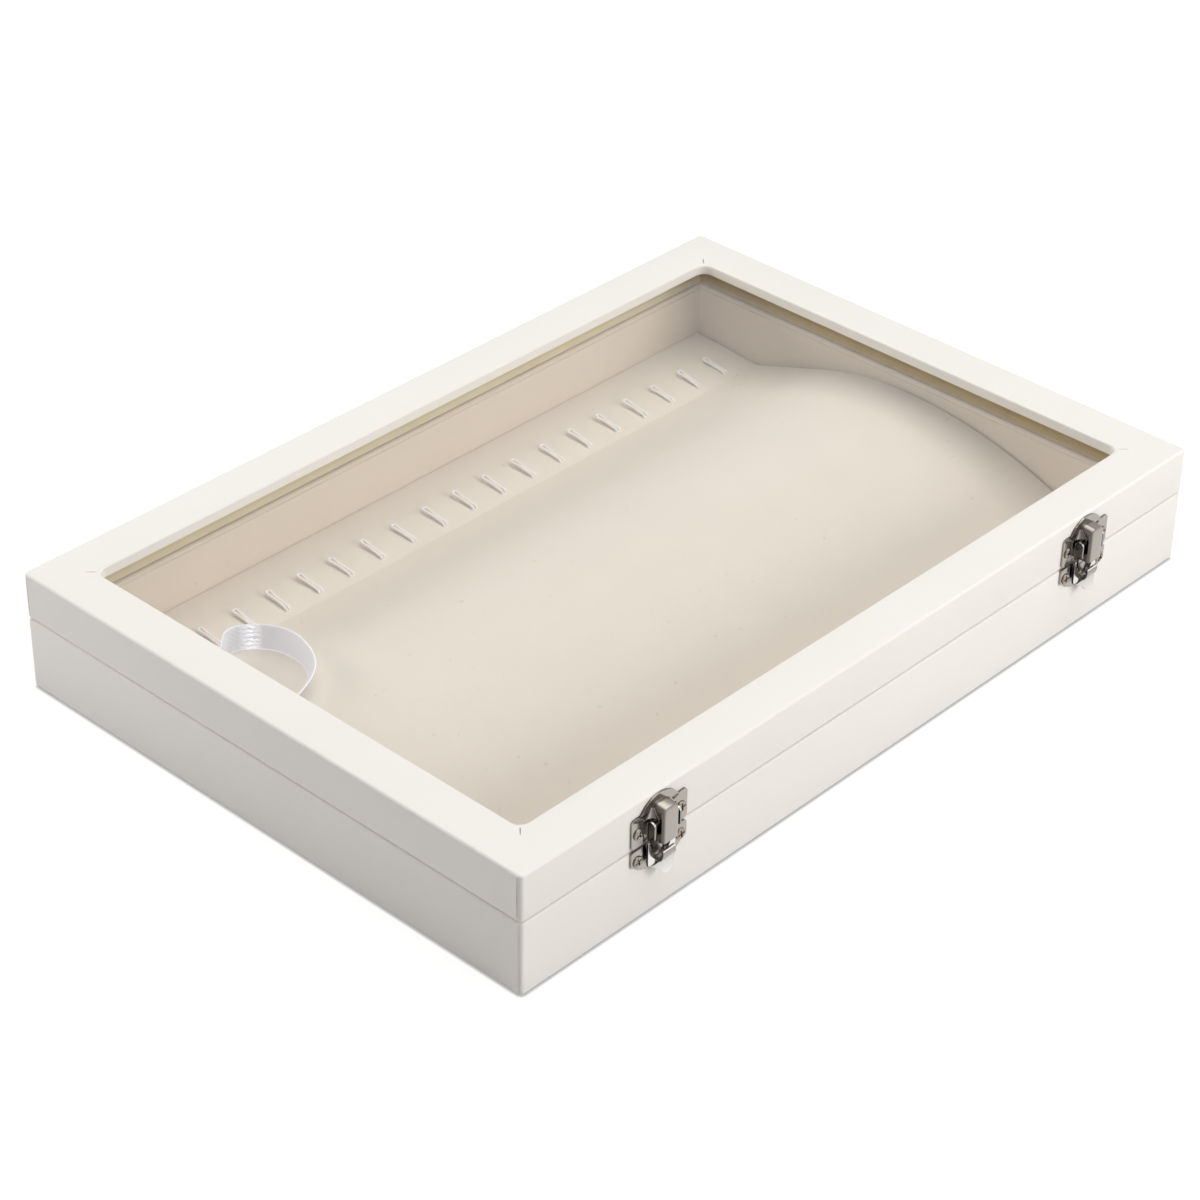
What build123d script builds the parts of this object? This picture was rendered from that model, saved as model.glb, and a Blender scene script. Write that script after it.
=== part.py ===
"""Necklace display case: a flat hinged box with a glass lid, a humped velvet pad with a row of
cord loops, and two sprung hasp latches on the front. Millimetres, +Z up, +X along the front."""
from build123d import *
import math
import os

os.makedirs("parts", exist_ok=True)

# Overall size of the closed case, over the covering
case_length = 350.0
case_width = 240.0
case_height = 48.0
seam_height = 29.5
edge_round = 1.6
edge_ease = 1.0

# Sheet and board thicknesses
cover_t = 0.6
wall_t = 4.4
floor_t = 2.4
foot_sheet_t = 0.6
foot_sheet_inset = 2.0
liner_t = 3.0
liner_drop = 0.2
liner_round = 0.9
top_board_t = 3.4
glass_t = 2.0
glass_clearance = 0.3
retainer_t = 2.0
retainer_lift = 0.8
window_margin = 17.7
window_round = 1.2

# Pad: card base, foam body and velvet cover
pad_clearance = 0.4
pad_card_t = 1.2
velvet_t = 0.8
strip_width = 32.4
strip_front_z = 5.6
strip_back_z = 7.9
hump_height = 24.5
crown_y = 2.4
hump_back_radius = 133.0
hump_back_slope = 18.0
hump_front_radius = 190.0

# Cord loops that hold the chains
loop_count = 20
loop_pitch = 15.9
loop_root_y = 83.5
loop_tip_y = 95.2
loop_tip_rise = 1.9
loop_half_width = 0.9
loop_root_half_width = 0.68
loop_bend_steps = 3
cord_radius = 0.6
cord_sides = 6

# Lifting ribbon, standing on its edge
ribbon_t = 0.5
ribbon_width = 10.0
ribbon_gap = 0.3
ribbon_route = [(-166.3, 55.0), (-141.0, 60.5), (-122.5, 82.5), (-112.0, 67.5), (-116.8, 43.5),
                (-128.5, 21.0), (-166.3, 14.0)]
ribbon_radii = [22.0, 6.0, 20.0, 40.0, 10.0]

# Latches: a plate with a pressed nose and a sprung hasp on the lid, a plate on the base
latch_spacing = 226.0
metal_t = 0.8
plate_half_width = 13.0
lid_plate_lift = 1.3
lid_plate_shoulder = 12.9
lid_plate_top = 17.7
lid_plate_dome_radius = 10.3
base_plate_rise = 0.2
base_plate_shoulder = 6.3
base_plate_bottom = 11.1
base_plate_dome_radius = 15.0
plate_corner_round = 1.4
plate_inner_round = 1.2
screw_side = 10.1
lid_screw_inset = 5.3
base_screw_inset = 4.5
nose_half_width = 3.6
nose_proud = 6.0
nose_bottom = 1.5
nose_top = 14.0
nose_top_rise = 0.9
nose_blend = 1.6
nose_ease = 0.7
cowl_half_width = 7.2
cowl_bottom = 10.6
cowl_depth = 3.4
cowl_tip_width = 1.0
pin_above_seam = 8.6
pin_proud = 2.8
latch_pin_radius = 0.75
pin_fit = 0.05
ear_radius = 1.65
ear_half_span = 6.4
ear_foot_rise = 4.0
ear_foot_slope = 1.4
hasp_gap = 0.4
hasp_top_gap = 0.1
hasp_shoulder_drop = 7.9
hasp_tip_drop = 11.9
hasp_bell_share = 0.46
hasp_curl_start = 6.7
lip_bend = 50.0
lip_bend_radius = 1.6
lip_ease = 36.0
lip_sweep_radius = 7.8
scoop_half_width = 2.9
scoop_root_drop = 8.3
scoop_top_drop = 2.0
scoop_proud = 5.2
scoop_belly = 0.9
scoop_belly_rise = 2.2
scoop_sink = 0.3
scoop_root_t = 1.3
scoop_corner_round = 2.2
opening_bottom_drop = 7.0
opening_rim_inset = 3.3
opening_rim_rise = 1.6
catch_proud = 0.2
catch_drop = 1.6
catch_height = 1.0
catch_half_width = 2.4
spring_wall = 0.5
spring_half_length = 2.4
spring_leg_width = 0.6
spring_leg_length = 4.6
pin_head_radius = 1.1
pin_head_t = 0.5
pin_head_gap = 0.1

# Butt hinges on the back
hinge_spacing = 220.0
hinge_length = 30.0
leaf_height = 13.0
leaf_t = 0.8
hinge_pin_radius = 0.8
knuckle_radius = 1.6
knuckle_gap = 0.3
knuckle_lift = 1.1
leaf_corner_round = 1.5
hinge_pin_overhang = 0.5
hinge_pin_ease = 0.25
centre_knuckle = 12.0
knuckle_web_lift = 0.3
hinge_screw_side = 10.0
hinge_screw_drop = 7.5

# Oval-head wood screws, one size throughout
screw_head_radius = 1.9
screw_head_height = 0.8
screw_rim_height = 0.32
screw_crown_radius = 1.05
screw_shank_radius = 0.8
screw_length = 4.6
screw_taper = 0.6
screw_hole_clearance = 0.1
screw_head_sides = 10
screw_shank_sides = 8
fitting_sides = 12

# Places worked out from the sizes above
half_length = case_length / 2
half_width = case_width / 2
board_x = half_length - cover_t
board_y = half_width - cover_t
room_x = board_x - wall_t
room_y = board_y - wall_t
liner_x = room_x - liner_t
liner_y = room_y - liner_t
floor_top = foot_sheet_t + floor_t
liner_top = seam_height - liner_drop
rail_top = case_height - cover_t
rail_bottom = rail_top - top_board_t
glass_bottom = rail_bottom - glass_t
window_x = half_length - window_margin
window_y = half_width - window_margin
pad_x = liner_x - pad_clearance
pad_y = liner_y - pad_clearance
pad_card_top = floor_top + pad_card_t
lid_plate_bottom = seam_height + lid_plate_lift
base_plate_top = seam_height + base_plate_rise
pin_y = -half_width - pin_proud
pin_z = seam_height + pin_above_seam
hasp_back = -half_width - metal_t - hasp_gap
hasp_front = hasp_back - metal_t
hinge_y = half_width + leaf_t + knuckle_lift
hinge_z = seam_height


def block(low, high):
    """Solid box between two opposite corners."""
    size = [b - a for a, b in zip(low, high)]
    middle = [(a + b) / 2 for a, b in zip(low, high)]
    return Pos(*middle) * Box(*size)


def centred_block(x, y, low_z, high_z):
    """Box centred on the case, x and y being half sizes."""
    return block((-x, -y, low_z), (x, y, high_z))


def save(name, shapes):
    """Write one piece, or a group of like pieces, to its own file."""
    group = shapes if isinstance(shapes, list) else [shapes]
    solids = [solid for shape in group for solid in shape.solids()]
    result = solids[0] if len(solids) == 1 else Compound(children=solids)
    result.label = name
    export_step(result, f"parts/{name}.step")


# Screws and their holes

def prism(radius, sides, start, end, end_radius=None):
    """Straight or tapered prism along +Y between two distances."""
    first = Plane((0, start, 0), z_dir=(0, 1, 0)) * RegularPolygon(radius, sides)
    last = Plane((0, end, 0), z_dir=(0, 1, 0)) * RegularPolygon(end_radius or radius, sides)
    return loft([first, last], ruled=True)


def screw():
    """Oval-head screw at the origin, driven along +Y, its head seated at Y = 0. The scene has
    its cross slot and round faces."""
    head = prism(screw_head_radius, screw_head_sides, -screw_rim_height, 0)
    crown = prism(screw_crown_radius, screw_head_sides, -screw_head_height, -screw_rim_height,
                  screw_head_radius)
    shank = prism(screw_shank_radius, screw_shank_sides, 0, screw_length,
                  screw_shank_radius * screw_taper)
    return head + crown + shank


def latch_screw_spots(centre_x, z):
    """Screw seats on a latch plate's outer face."""
    y = -half_width - metal_t
    return [Pos(centre_x + side * screw_side, y, z) for side in (-1, 1)]


def hinge_screw_spots(centre_x, z):
    """Screw seats on a hinge leaf's outer face."""
    y = half_width + leaf_t
    return [Pos(centre_x + side * hinge_screw_side, y, z) * Rot(0, 0, 180) for side in (-1, 1)]


latch_centres = [-latch_spacing / 2, latch_spacing / 2]
hinge_centres = [-hinge_spacing / 2, hinge_spacing / 2]
lid_latch_screw_z = lid_plate_bottom + lid_screw_inset
base_latch_screw_z = base_plate_top - base_screw_inset
lid_hinge_screw_z = hinge_z + hinge_screw_drop
base_hinge_screw_z = hinge_z - hinge_screw_drop
lid_latch_spots = [s for x in latch_centres for s in latch_screw_spots(x, lid_latch_screw_z)]
base_latch_spots = [s for x in latch_centres for s in latch_screw_spots(x, base_latch_screw_z)]
lid_hinge_spots = [s for x in hinge_centres for s in hinge_screw_spots(x, lid_hinge_screw_z)]
base_hinge_spots = [s for x in hinge_centres for s in hinge_screw_spots(x, base_hinge_screw_z)]


def screw_holes(spots):
    """Holes for the shanks, open at the plate's face and a little deeper than the screw."""
    radius = screw_shank_radius + screw_hole_clearance
    hole = prism(radius, screw_shank_sides, 0, screw_length + screw_hole_clearance)
    return [spot * hole for spot in spots]


base_holes = screw_holes(base_latch_spots + base_hinge_spots)
lid_holes = screw_holes(lid_latch_spots + lid_hinge_spots)


# Base: floor, four walls, covering and foot sheet

def wall_boards(low_z, high_z):
    """Long walls over the full length, short walls between them."""
    long_front = block((-board_x, -board_y, low_z), (board_x, -room_y, high_z))
    long_back = block((-board_x, room_y, low_z), (board_x, board_y, high_z))
    short_left = block((-board_x, -room_y, low_z), (-room_x, room_y, high_z))
    short_right = block((room_x, -room_y, low_z), (board_x, room_y, high_z))
    return {"front": long_front, "back": long_back, "left": short_left, "right": short_right}


base_wall_low = foot_sheet_t + cover_t
base_wall_high = seam_height - cover_t
base_walls = wall_boards(base_wall_low, base_wall_high)
base_walls["front"] = base_walls["front"] - base_holes
base_walls["back"] = base_walls["back"] - base_holes
for side, board in base_walls.items():
    save(f"base_{side}_board", board)
save("base_floor_board", centred_block(room_x, room_y, foot_sheet_t, floor_top))


def covered_block(low_z, high_z):
    """Block over the whole case with round corners and eased rims, as the covering leaves it."""
    outer = centred_block(half_length, half_width, low_z, high_z)
    outer = fillet(outer.edges().filter_by(Axis.Z), edge_round)
    return chamfer(outer.faces().filter_by(Axis.Z).edges(), edge_ease)


base_outer = covered_block(foot_sheet_t, seam_height)
base_board_space = centred_block(board_x, board_y, base_wall_low, base_wall_high)
base_room = centred_block(room_x, room_y, 0, case_height)
save("base_leatherette", base_outer - base_board_space - base_room - base_holes)
foot_x = half_length - foot_sheet_inset
foot_y = half_width - foot_sheet_inset
save("base_underside", centred_block(foot_x, foot_y, 0, foot_sheet_t))


# Liner: velvet-covered boards that stand on the floor inside the walls, rounded at the top

def liner_board(low, high):
    """One liner board with its top edges rounded by the velvet wrapped over it."""
    board = block(low, high)
    long_axis = Axis.X if high[0] - low[0] > high[1] - low[1] else Axis.Y
    top_edges = board.edges().filter_by(long_axis).group_by(Axis.Z)[-1]
    return fillet(top_edges, liner_round)


save("liner_front", liner_board((-room_x, -room_y, floor_top), (room_x, -liner_y, liner_top)))
save("liner_back", liner_board((-room_x, liner_y, floor_top), (room_x, room_y, liner_top)))
save("liner_left", liner_board((-room_x, -liner_y, floor_top), (-liner_x, liner_y, liner_top)))
save("liner_right", liner_board((liner_x, -liner_y, floor_top), (room_x, liner_y, liner_top)))


# Pad: a flat strip at the back and front and a long hump between them

def pad_line(rise):
    """The pad's surface in the YZ plane, front to back, raised by the given amount."""
    strip_y = pad_y - strip_width
    back_angle = math.radians(hump_back_slope)
    back_arc_y = crown_y + hump_back_radius * math.sin(back_angle)
    back_arc_z = hump_height - hump_back_radius * (1 - math.cos(back_angle))
    front_fall = hump_height - strip_front_z
    front_angle = math.acos(1 - front_fall / hump_front_radius)
    front_arc_y = crown_y - hump_front_radius * math.sin(front_angle)
    half_angle = front_angle / 2
    front_mid = (crown_y - hump_front_radius * math.sin(half_angle),
                 hump_height - hump_front_radius * (1 - math.cos(half_angle)) + rise)
    half_back = back_angle / 2
    back_mid = (crown_y + hump_back_radius * math.sin(half_back),
                hump_height - hump_back_radius * (1 - math.cos(half_back)) + rise)
    crown = (crown_y, hump_height + rise)
    front_strip = Line((-pad_y, strip_back_z + rise), (front_arc_y, strip_front_z + rise))
    front_arc = ThreePointArc((front_arc_y, strip_front_z + rise), front_mid, crown)
    back_arc = ThreePointArc(crown, back_mid, (back_arc_y, back_arc_z + rise))
    back_slope = Line((back_arc_y, back_arc_z + rise), (strip_y, strip_front_z + rise))
    back_strip = Line((strip_y, strip_front_z + rise), (pad_y, strip_back_z + rise))
    return front_strip + front_arc + back_arc + back_slope + back_strip


def pad_layer(bottom_z, rise, half_span):
    """Solid from a level bottom up to the pad's surface."""
    side = Polyline((pad_y, strip_back_z + rise), (pad_y, bottom_z),
                    (-pad_y, bottom_z), (-pad_y, strip_back_z + rise))
    face = make_face(Plane.YZ * (pad_line(rise) + side))
    return extrude(face, half_span, both=True)


pad_body = pad_layer(pad_card_top, 0, pad_x)
pad_foam = pad_layer(pad_card_top, -velvet_t, pad_x)
save("pad_card", centred_block(pad_x, pad_y, floor_top, pad_card_top))
save("pad_foam", pad_foam)
save("pad_velvet", pad_body - pad_foam)


# Cord loops: one hairpin, repeated along the back strip

def strip_height(y):
    """Height of the back strip's surface at a given y."""
    share = (y - (pad_y - strip_width)) / strip_width
    return strip_front_z + share * (strip_back_z - strip_front_z)


def cord_loop():
    """Hairpin of round cord that leaves the pad at its root and leans back over it. Its strands
    lie closer at the root than at the bend."""
    root_z = strip_height(loop_root_y) - cord_radius
    tip_z = strip_height(loop_tip_y) + loop_tip_rise
    lean = Plane((0, loop_root_y, root_z), x_dir=(1, 0, 0),
                 z_dir=(0, root_z - tip_z, loop_tip_y - loop_root_y))
    run = math.hypot(loop_tip_y - loop_root_y, tip_z - root_z) - loop_half_width
    bend = [(loop_half_width * math.cos(angle), run + loop_half_width * math.sin(angle))
            for angle in (k * math.pi / loop_bend_steps for k in range(loop_bend_steps + 1))]
    path = lean * Polyline((loop_root_half_width, 0), *bend, (-loop_root_half_width, 0))
    section = Plane(path @ 0, z_dir=path % 0) * RegularPolygon(cord_radius, cord_sides)
    return sweep(section, path=path, transition=Transition.RIGHT) - pad_layer(0, 0, pad_x)


one_loop = cord_loop()
loop_row = [(i - (loop_count - 1) / 2) * loop_pitch for i in range(loop_count)]
save("loop_cords", [Pos(x, 0, 0) * one_loop for x in loop_row])


# Ribbon: a satin strip on its edge, bent into a horseshoe, following the pad's surface

ribbon_path = FilletPolyline(*ribbon_route, radius=ribbon_radii)
ribbon_plan = make_face(ribbon_path.offset_2d(ribbon_t / 2, side=Side.BOTH).edges())
ribbon_post = extrude(ribbon_plan, case_height)
ribbon_floor = pad_layer(0, ribbon_gap, pad_x)
ribbon_ceiling = pad_layer(0, ribbon_gap + ribbon_width, pad_x)
save("ribbon_pull", (ribbon_post & ribbon_ceiling) - ribbon_floor)


# Lid: four walls, four mitred top rails, covering, glass and the strips under the glass

lid_wall_low = seam_height + cover_t
lid_walls = wall_boards(lid_wall_low, rail_bottom)
lid_walls["front"] = lid_walls["front"] - lid_holes
lid_walls["back"] = lid_walls["back"] - lid_holes
for side, board in lid_walls.items():
    save(f"lid_{side}_board", board)

rail_inner_x = window_x + cover_t
rail_inner_y = window_y + cover_t


def long_rail(sign):
    """Front or back rail of the top frame, mitred at both ends."""
    outline = Polyline((-board_x, sign * board_y), (board_x, sign * board_y),
                       (rail_inner_x, sign * rail_inner_y), (-rail_inner_x, sign * rail_inner_y),
                       close=True)
    return Pos(0, 0, rail_bottom) * extrude(make_face(outline), top_board_t, dir=(0, 0, 1))


def short_rail(sign):
    """Left or right rail of the top frame, mitred at both ends."""
    outline = Polyline((sign * board_x, -board_y), (sign * board_x, board_y),
                       (sign * rail_inner_x, rail_inner_y), (sign * rail_inner_x, -rail_inner_y),
                       close=True)
    return Pos(0, 0, rail_bottom) * extrude(make_face(outline), top_board_t, dir=(0, 0, 1))


save("lid_front_rail", long_rail(-1))
save("lid_back_rail", long_rail(1))
save("lid_left_rail", short_rail(-1))
save("lid_right_rail", short_rail(1))

lid_outer = covered_block(seam_height, case_height)
window = centred_block(window_x, window_y, rail_bottom, case_height + 1)
window = fillet(window.edges().filter_by(Axis.Z), window_round)
rail_ring = centred_block(board_x, board_y, rail_bottom, rail_top)
rail_ring -= centred_block(rail_inner_x, rail_inner_y, rail_bottom, rail_top)
lid_wall_ring = centred_block(board_x, board_y, lid_wall_low, rail_bottom)
lid_room = centred_block(room_x, room_y, 0, rail_bottom)
save("lid_leatherette", lid_outer - window - rail_ring - lid_wall_ring - lid_room - lid_holes)

glass_x = room_x - glass_clearance
glass_y = room_y - glass_clearance
save("glass_pane", centred_block(glass_x, glass_y, glass_bottom, rail_bottom))

strip_low = seam_height + retainer_lift
strip_x = room_x - retainer_t
strip_y = room_y - retainer_t
save("glass_strip_front", block((-room_x, -room_y, strip_low), (room_x, -strip_y, glass_bottom)))
save("glass_strip_back", block((-room_x, strip_y, strip_low), (room_x, room_y, glass_bottom)))
save("glass_strip_left", block((-room_x, -strip_y, strip_low), (-strip_x, strip_y, glass_bottom)))
save("glass_strip_right", block((strip_x, -strip_y, strip_low), (room_x, strip_y, glass_bottom)))


# Latches

front_plane = Plane.XZ.offset(half_width)


def plate_outline(square, dome, shoulder):
    """Square part and dome of a latch plate, with soft corners where they meet."""
    outline = square + dome
    flat_x = plate_half_width - plate_corner_round
    meets = [v for v in outline.vertices() if abs(v.Y - shoulder) < 0.01 and abs(v.X) < flat_x - 0.01]
    return fillet(meets, plate_inner_round)


def lid_plate(centre_x):
    """Upper plate: square shoulders and a dome, with the hollow nose pressed out of it."""
    shoulder = seam_height + lid_plate_shoulder
    dome_centre = seam_height + lid_plate_top - lid_plate_dome_radius
    lower = Rectangle(2 * plate_half_width, shoulder - lid_plate_bottom,
                      align=(Align.CENTER, Align.MIN))
    lower = fillet(lower.vertices(), plate_corner_round)
    dome = Pos(0, dome_centre) * Circle(lid_plate_dome_radius)
    keep = Pos(0, shoulder - plate_corner_round) * Rectangle(
        2 * plate_half_width, case_height, align=(Align.CENTER, Align.MIN))
    outline = plate_outline(Pos(0, lid_plate_bottom) * lower, dome & keep, shoulder)
    plate = extrude(front_plane * outline, metal_t)
    nose = pressed_nose(0, nose_half_width)
    hollow = pressed_nose(metal_t, nose_half_width - metal_t)
    pin_bore = Pos(0, pin_y, pin_z) * Rot(0, 90, 0) * Cylinder(
        latch_pin_radius + pin_fit, 4 * nose_half_width)
    body = plate + nose + cowl(1) + cowl(-1) - hollow - pin_bore
    return Pos(centre_x, 0, 0) * body - lid_holes


def pressed_nose(wall, half_span):
    """Side profile of the nose, carried across its width; wall shrinks it to the hollow."""
    root = -half_width if wall else -half_width - metal_t
    front = -half_width - nose_proud + wall
    top = seam_height + nose_top - wall
    low = seam_height + nose_bottom - wall
    blend = nose_blend - wall
    share = 1 - math.cos(math.pi / 4)
    rounding = ThreePointArc((front, top - blend), (front + share * blend, top - share * blend),
                             (front + blend, top))
    sides = Polyline((front + blend, top), (root, top + nose_top_rise), (root, low),
                     (front, low), (front, top - blend))
    body = extrude(make_face(Plane.YZ * (rounding + sides)), half_span, both=True)
    if wall:
        return body
    side_edges = [e for e in body.edges() if abs(abs(e.center().X) - half_span) < 0.01]
    front_edges = [e for e in side_edges if e.center().Y < root - 0.1 and e.center().Z > low + 0.1]
    return chamfer(front_edges, nose_ease)


def cowl(side):
    """Flare that spreads from one side of the nose's upper part to the plate."""
    near = side * (nose_half_width - metal_t)
    far = side * cowl_half_width
    root = -half_width - metal_t / 2
    out = -half_width - metal_t - cowl_depth
    low = seam_height + cowl_bottom
    high = seam_height + nose_top
    foot = Plane.XY.offset(low) * make_face(Polyline((near, root), (far, root), (near, out),
                                                     close=True))
    tip = Plane.XY.offset(high) * make_face(Polyline(
        (near, root), (near + side * cowl_tip_width, root), (near, root - metal_t), close=True))
    return loft([foot, tip], ruled=True)


def base_plate(centre_x):
    """Lower plate: square top, shoulders and a shallow dome below, with a low catch ridge."""
    shoulder = seam_height - base_plate_shoulder
    dome_centre = seam_height - base_plate_bottom + base_plate_dome_radius
    height = base_plate_top - shoulder
    upper = Rectangle(2 * plate_half_width, height, align=(Align.CENTER, Align.MIN))
    upper = fillet(upper.vertices(), plate_corner_round)
    dome = Pos(0, dome_centre) * Circle(base_plate_dome_radius)
    keep = Pos(0, shoulder + plate_corner_round) * Rectangle(
        2 * plate_half_width, case_height, align=(Align.CENTER, Align.MAX))
    outline = plate_outline(Pos(0, shoulder) * upper, dome & keep, shoulder)
    plate = extrude(front_plane * outline, metal_t)
    catch_low = seam_height - catch_drop - catch_height
    catch = block((-catch_half_width, -half_width - metal_t - catch_proud, catch_low),
                  (catch_half_width, -half_width - metal_t, catch_low + catch_height))
    return Pos(centre_x, 0, 0) * (plate + catch) - base_holes


def hasp(centre_x):
    """Sprung hasp: two ears on the pin, a web with a round-bottomed opening, an upturned scoop
    in the opening and a curled finger lip."""
    shoulder_z = seam_height - hasp_shoulder_drop
    tip_z = seam_height - hasp_tip_drop
    web_top = seam_height + nose_bottom - hasp_top_gap
    span = ear_half_span

    # Front outline: square shoulders, then a bell-shaped lip
    bell_x = span * hasp_bell_share
    bell_z = (shoulder_z + tip_z) / 2
    left_bell = Spline((-span, shoulder_z), (-bell_x, bell_z), (0, tip_z),
                       tangents=((1, -0.2, 0), (1, 0, 0)))
    right_bell = Spline((0, tip_z), (bell_x, bell_z), (span, shoulder_z),
                        tangents=((1, 0, 0), (1, 0.2, 0)))
    sides = Polyline((span, shoulder_z), (span, web_top), (-span, web_top), (-span, shoulder_z))
    front = make_face(left_bell + right_bell + sides)
    rim_x = span - opening_rim_inset
    rim_z = seam_height - opening_bottom_drop + opening_rim_rise
    rim = ThreePointArc((-rim_x, rim_z), (0, seam_height - opening_bottom_drop), (rim_x, rim_z))
    opening_sides = Polyline((rim_x, rim_z), (span - metal_t, seam_height),
                             (span - metal_t, web_top + 1), (metal_t - span, web_top + 1),
                             (metal_t - span, seam_height), (-rim_x, rim_z))
    front -= make_face(rim + opening_sides)
    stamp = extrude(Plane.XZ.offset(half_width) * front, 3 * nose_proud)

    # Side profile: straight sheet, bent outward at the lip and eased back towards its tip
    curl_z = seam_height - hasp_curl_start
    front_bend = JernArc((hasp_front, curl_z), (0, -1), lip_bend_radius, -lip_bend)
    front_sweep = JernArc(front_bend @ 1, front_bend % 1, lip_sweep_radius, lip_ease)
    back_bend = JernArc((hasp_back, curl_z), (0, -1), lip_bend_radius + metal_t, -lip_bend)
    back_sweep = JernArc(back_bend @ 1, back_bend % 1, lip_sweep_radius - metal_t, lip_ease)
    straight = Polyline((hasp_front, curl_z), (hasp_front, web_top), (hasp_back, web_top),
                        (hasp_back, curl_z))
    end = Line(front_sweep @ 1, back_sweep @ 1)
    profile = straight + front_bend + front_sweep + end + back_sweep + back_bend
    sheet = extrude(make_face(Plane.YZ * profile), span, both=True) & stamp

    # Scoop: a round-rooted tongue bent out of the web and up
    scoop_y = -half_width - scoop_proud
    scoop_top = seam_height - scoop_top_drop
    root_z = seam_height - scoop_root_drop
    middle_y = (scoop_y + hasp_front) / 2 - scoop_belly
    middle_z = root_z + scoop_belly_rise
    heel_y = hasp_front + scoop_sink
    inner_z = root_z + scoop_root_t
    outer_arc = ThreePointArc((heel_y, root_z), (middle_y, middle_z), (scoop_y, scoop_top))
    inner_arc = ThreePointArc((scoop_y + metal_t, scoop_top),
                              (middle_y + metal_t, middle_z + metal_t / 2), (heel_y, inner_z))
    lip = Line((scoop_y, scoop_top), (scoop_y + metal_t, scoop_top))
    heel = Line((heel_y, inner_z), (heel_y, root_z))
    scoop_face = make_face(Plane.YZ * (outer_arc + lip + inner_arc + heel))
    tongue = Pos(0, root_z) * Rectangle(2 * scoop_half_width, scoop_top - root_z,
                                        align=(Align.CENTER, Align.MIN))
    tongue = fillet(tongue.vertices().group_by(Axis.Y)[0], scoop_corner_round)
    tongue_stamp = extrude(Plane.XZ.offset(half_width) * tongue, 3 * nose_proud)
    scoop = extrude(scoop_face, scoop_half_width, both=True) & tongue_stamp

    # Ears: side flanges with round tops about the pin
    ear_back = pin_y + ear_radius
    ear_front = pin_y - ear_radius
    foot_z = seam_height + ear_foot_rise
    flange = Polyline((ear_back, pin_z), (ear_back, seam_height),
                      (hasp_front, foot_z - ear_foot_slope), (ear_front, foot_z),
                      (ear_front, pin_z), close=True)
    ear_face = Plane.YZ * (make_face(flange) + Pos(pin_y, pin_z) * Circle(ear_radius))
    ear = extrude(ear_face, metal_t)
    ears = Pos(span - metal_t, 0, 0) * ear + Pos(-span, 0, 0) * ear
    bore = Pos(0, pin_y, pin_z) * Rot(0, 90, 0) * Cylinder(latch_pin_radius + pin_fit, 3 * span)
    return Pos(centre_x, 0, 0) * (sheet + scoop + ears - bore)


def latch_pin(centre_x):
    """Headed pin through the nose and both ears."""
    reach = ear_half_span + pin_head_gap
    shaft = Rot(0, 90, 0) * Cylinder(latch_pin_radius, 2 * reach)
    head = Rot(0, 0, -90) * prism(pin_head_radius, fitting_sides, 0, pin_head_t)
    return Pos(centre_x, pin_y, pin_z) * (shaft + Pos(reach, 0, 0) * head
                                          + Pos(-reach - pin_head_t, 0, 0) * head)


def latch_spring(centre_x):
    """Return spring on the pin inside the nose, as the sleeve its coils fill, and its leg."""
    inner = latch_pin_radius + pin_fit
    outer = inner + spring_wall
    length = 2 * spring_half_length
    sleeve = Rot(0, 0, 90) * prism(outer, fitting_sides, -length / 2, length / 2)
    sleeve -= Rot(0, 90, 0) * Cylinder(inner, 2 * length)
    half_leg = spring_leg_width / 2
    leg = block((-half_leg, inner, -spring_leg_length), (half_leg, outer, 0))
    return Pos(centre_x, pin_y, pin_z) * (sleeve + leg)


for name, centre in zip(("left", "right"), latch_centres):
    save(f"latch_lid_plate_{name}", lid_plate(centre))
    save(f"latch_base_plate_{name}", base_plate(centre))
    save(f"latch_hasp_{name}", hasp(centre))
    save(f"latch_pin_{name}", latch_pin(centre))
    save(f"latch_spring_{name}", latch_spring(centre))
save("latch_lid_screws", [spot * screw() for spot in lid_latch_spots])
save("latch_base_screws", [spot * screw() for spot in base_latch_spots])


# Hinges

def hinge_leaf(centre_x, up):
    """One leaf: up is 1 for the lid leaf with the centre knuckle, -1 for the base leaf."""
    side_knuckle = (hinge_length - centre_knuckle) / 2 - knuckle_gap
    side_x = hinge_length / 2 - side_knuckle / 2
    if up > 0:
        spans = [(0, centre_knuckle)]
        notches = [(-side_x, side_knuckle + 2 * knuckle_gap),
                   (side_x, side_knuckle + 2 * knuckle_gap)]
    else:
        spans = [(-side_x, side_knuckle), (side_x, side_knuckle)]
        notches = [(0, centre_knuckle + 2 * knuckle_gap)]
    half = hinge_length / 2
    leaf_low = min(0, up * leaf_height)
    leaf = block((-half, half_width, hinge_z + leaf_low),
                 (half, half_width + leaf_t, hinge_z + leaf_low + leaf_height))
    corner_edges = leaf.edges().filter_by(Axis.Y).sort_by(Axis.Z)
    far_edges = corner_edges[-2:] if up > 0 else corner_edges[:2]
    leaf = fillet(far_edges, leaf_corner_round)
    clear = knuckle_radius + knuckle_gap
    for x, width in notches:
        leaf -= block((x - width / 2, half_width - 1, hinge_z - clear),
                      (x + width / 2, half_width + 2 * leaf_t, hinge_z + clear))
    for x, width in spans:
        knuckle = Rot(0, 90, 0) * Cylinder(knuckle_radius, width)
        leaf += Pos(x, hinge_y, hinge_z) * knuckle
        web_low = hinge_z if up > 0 else hinge_z - knuckle_radius
        leaf += block((x - width / 2, half_width + knuckle_web_lift, web_low),
                      (x + width / 2, hinge_y, web_low + knuckle_radius))
    bore = Pos(0, hinge_y, hinge_z) * Rot(0, 90, 0) * Cylinder(
        hinge_pin_radius + pin_fit, 2 * hinge_length)
    leaf = Pos(centre_x, 0, 0) * (leaf - bore)
    return leaf - (lid_holes if up > 0 else base_holes)


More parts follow.
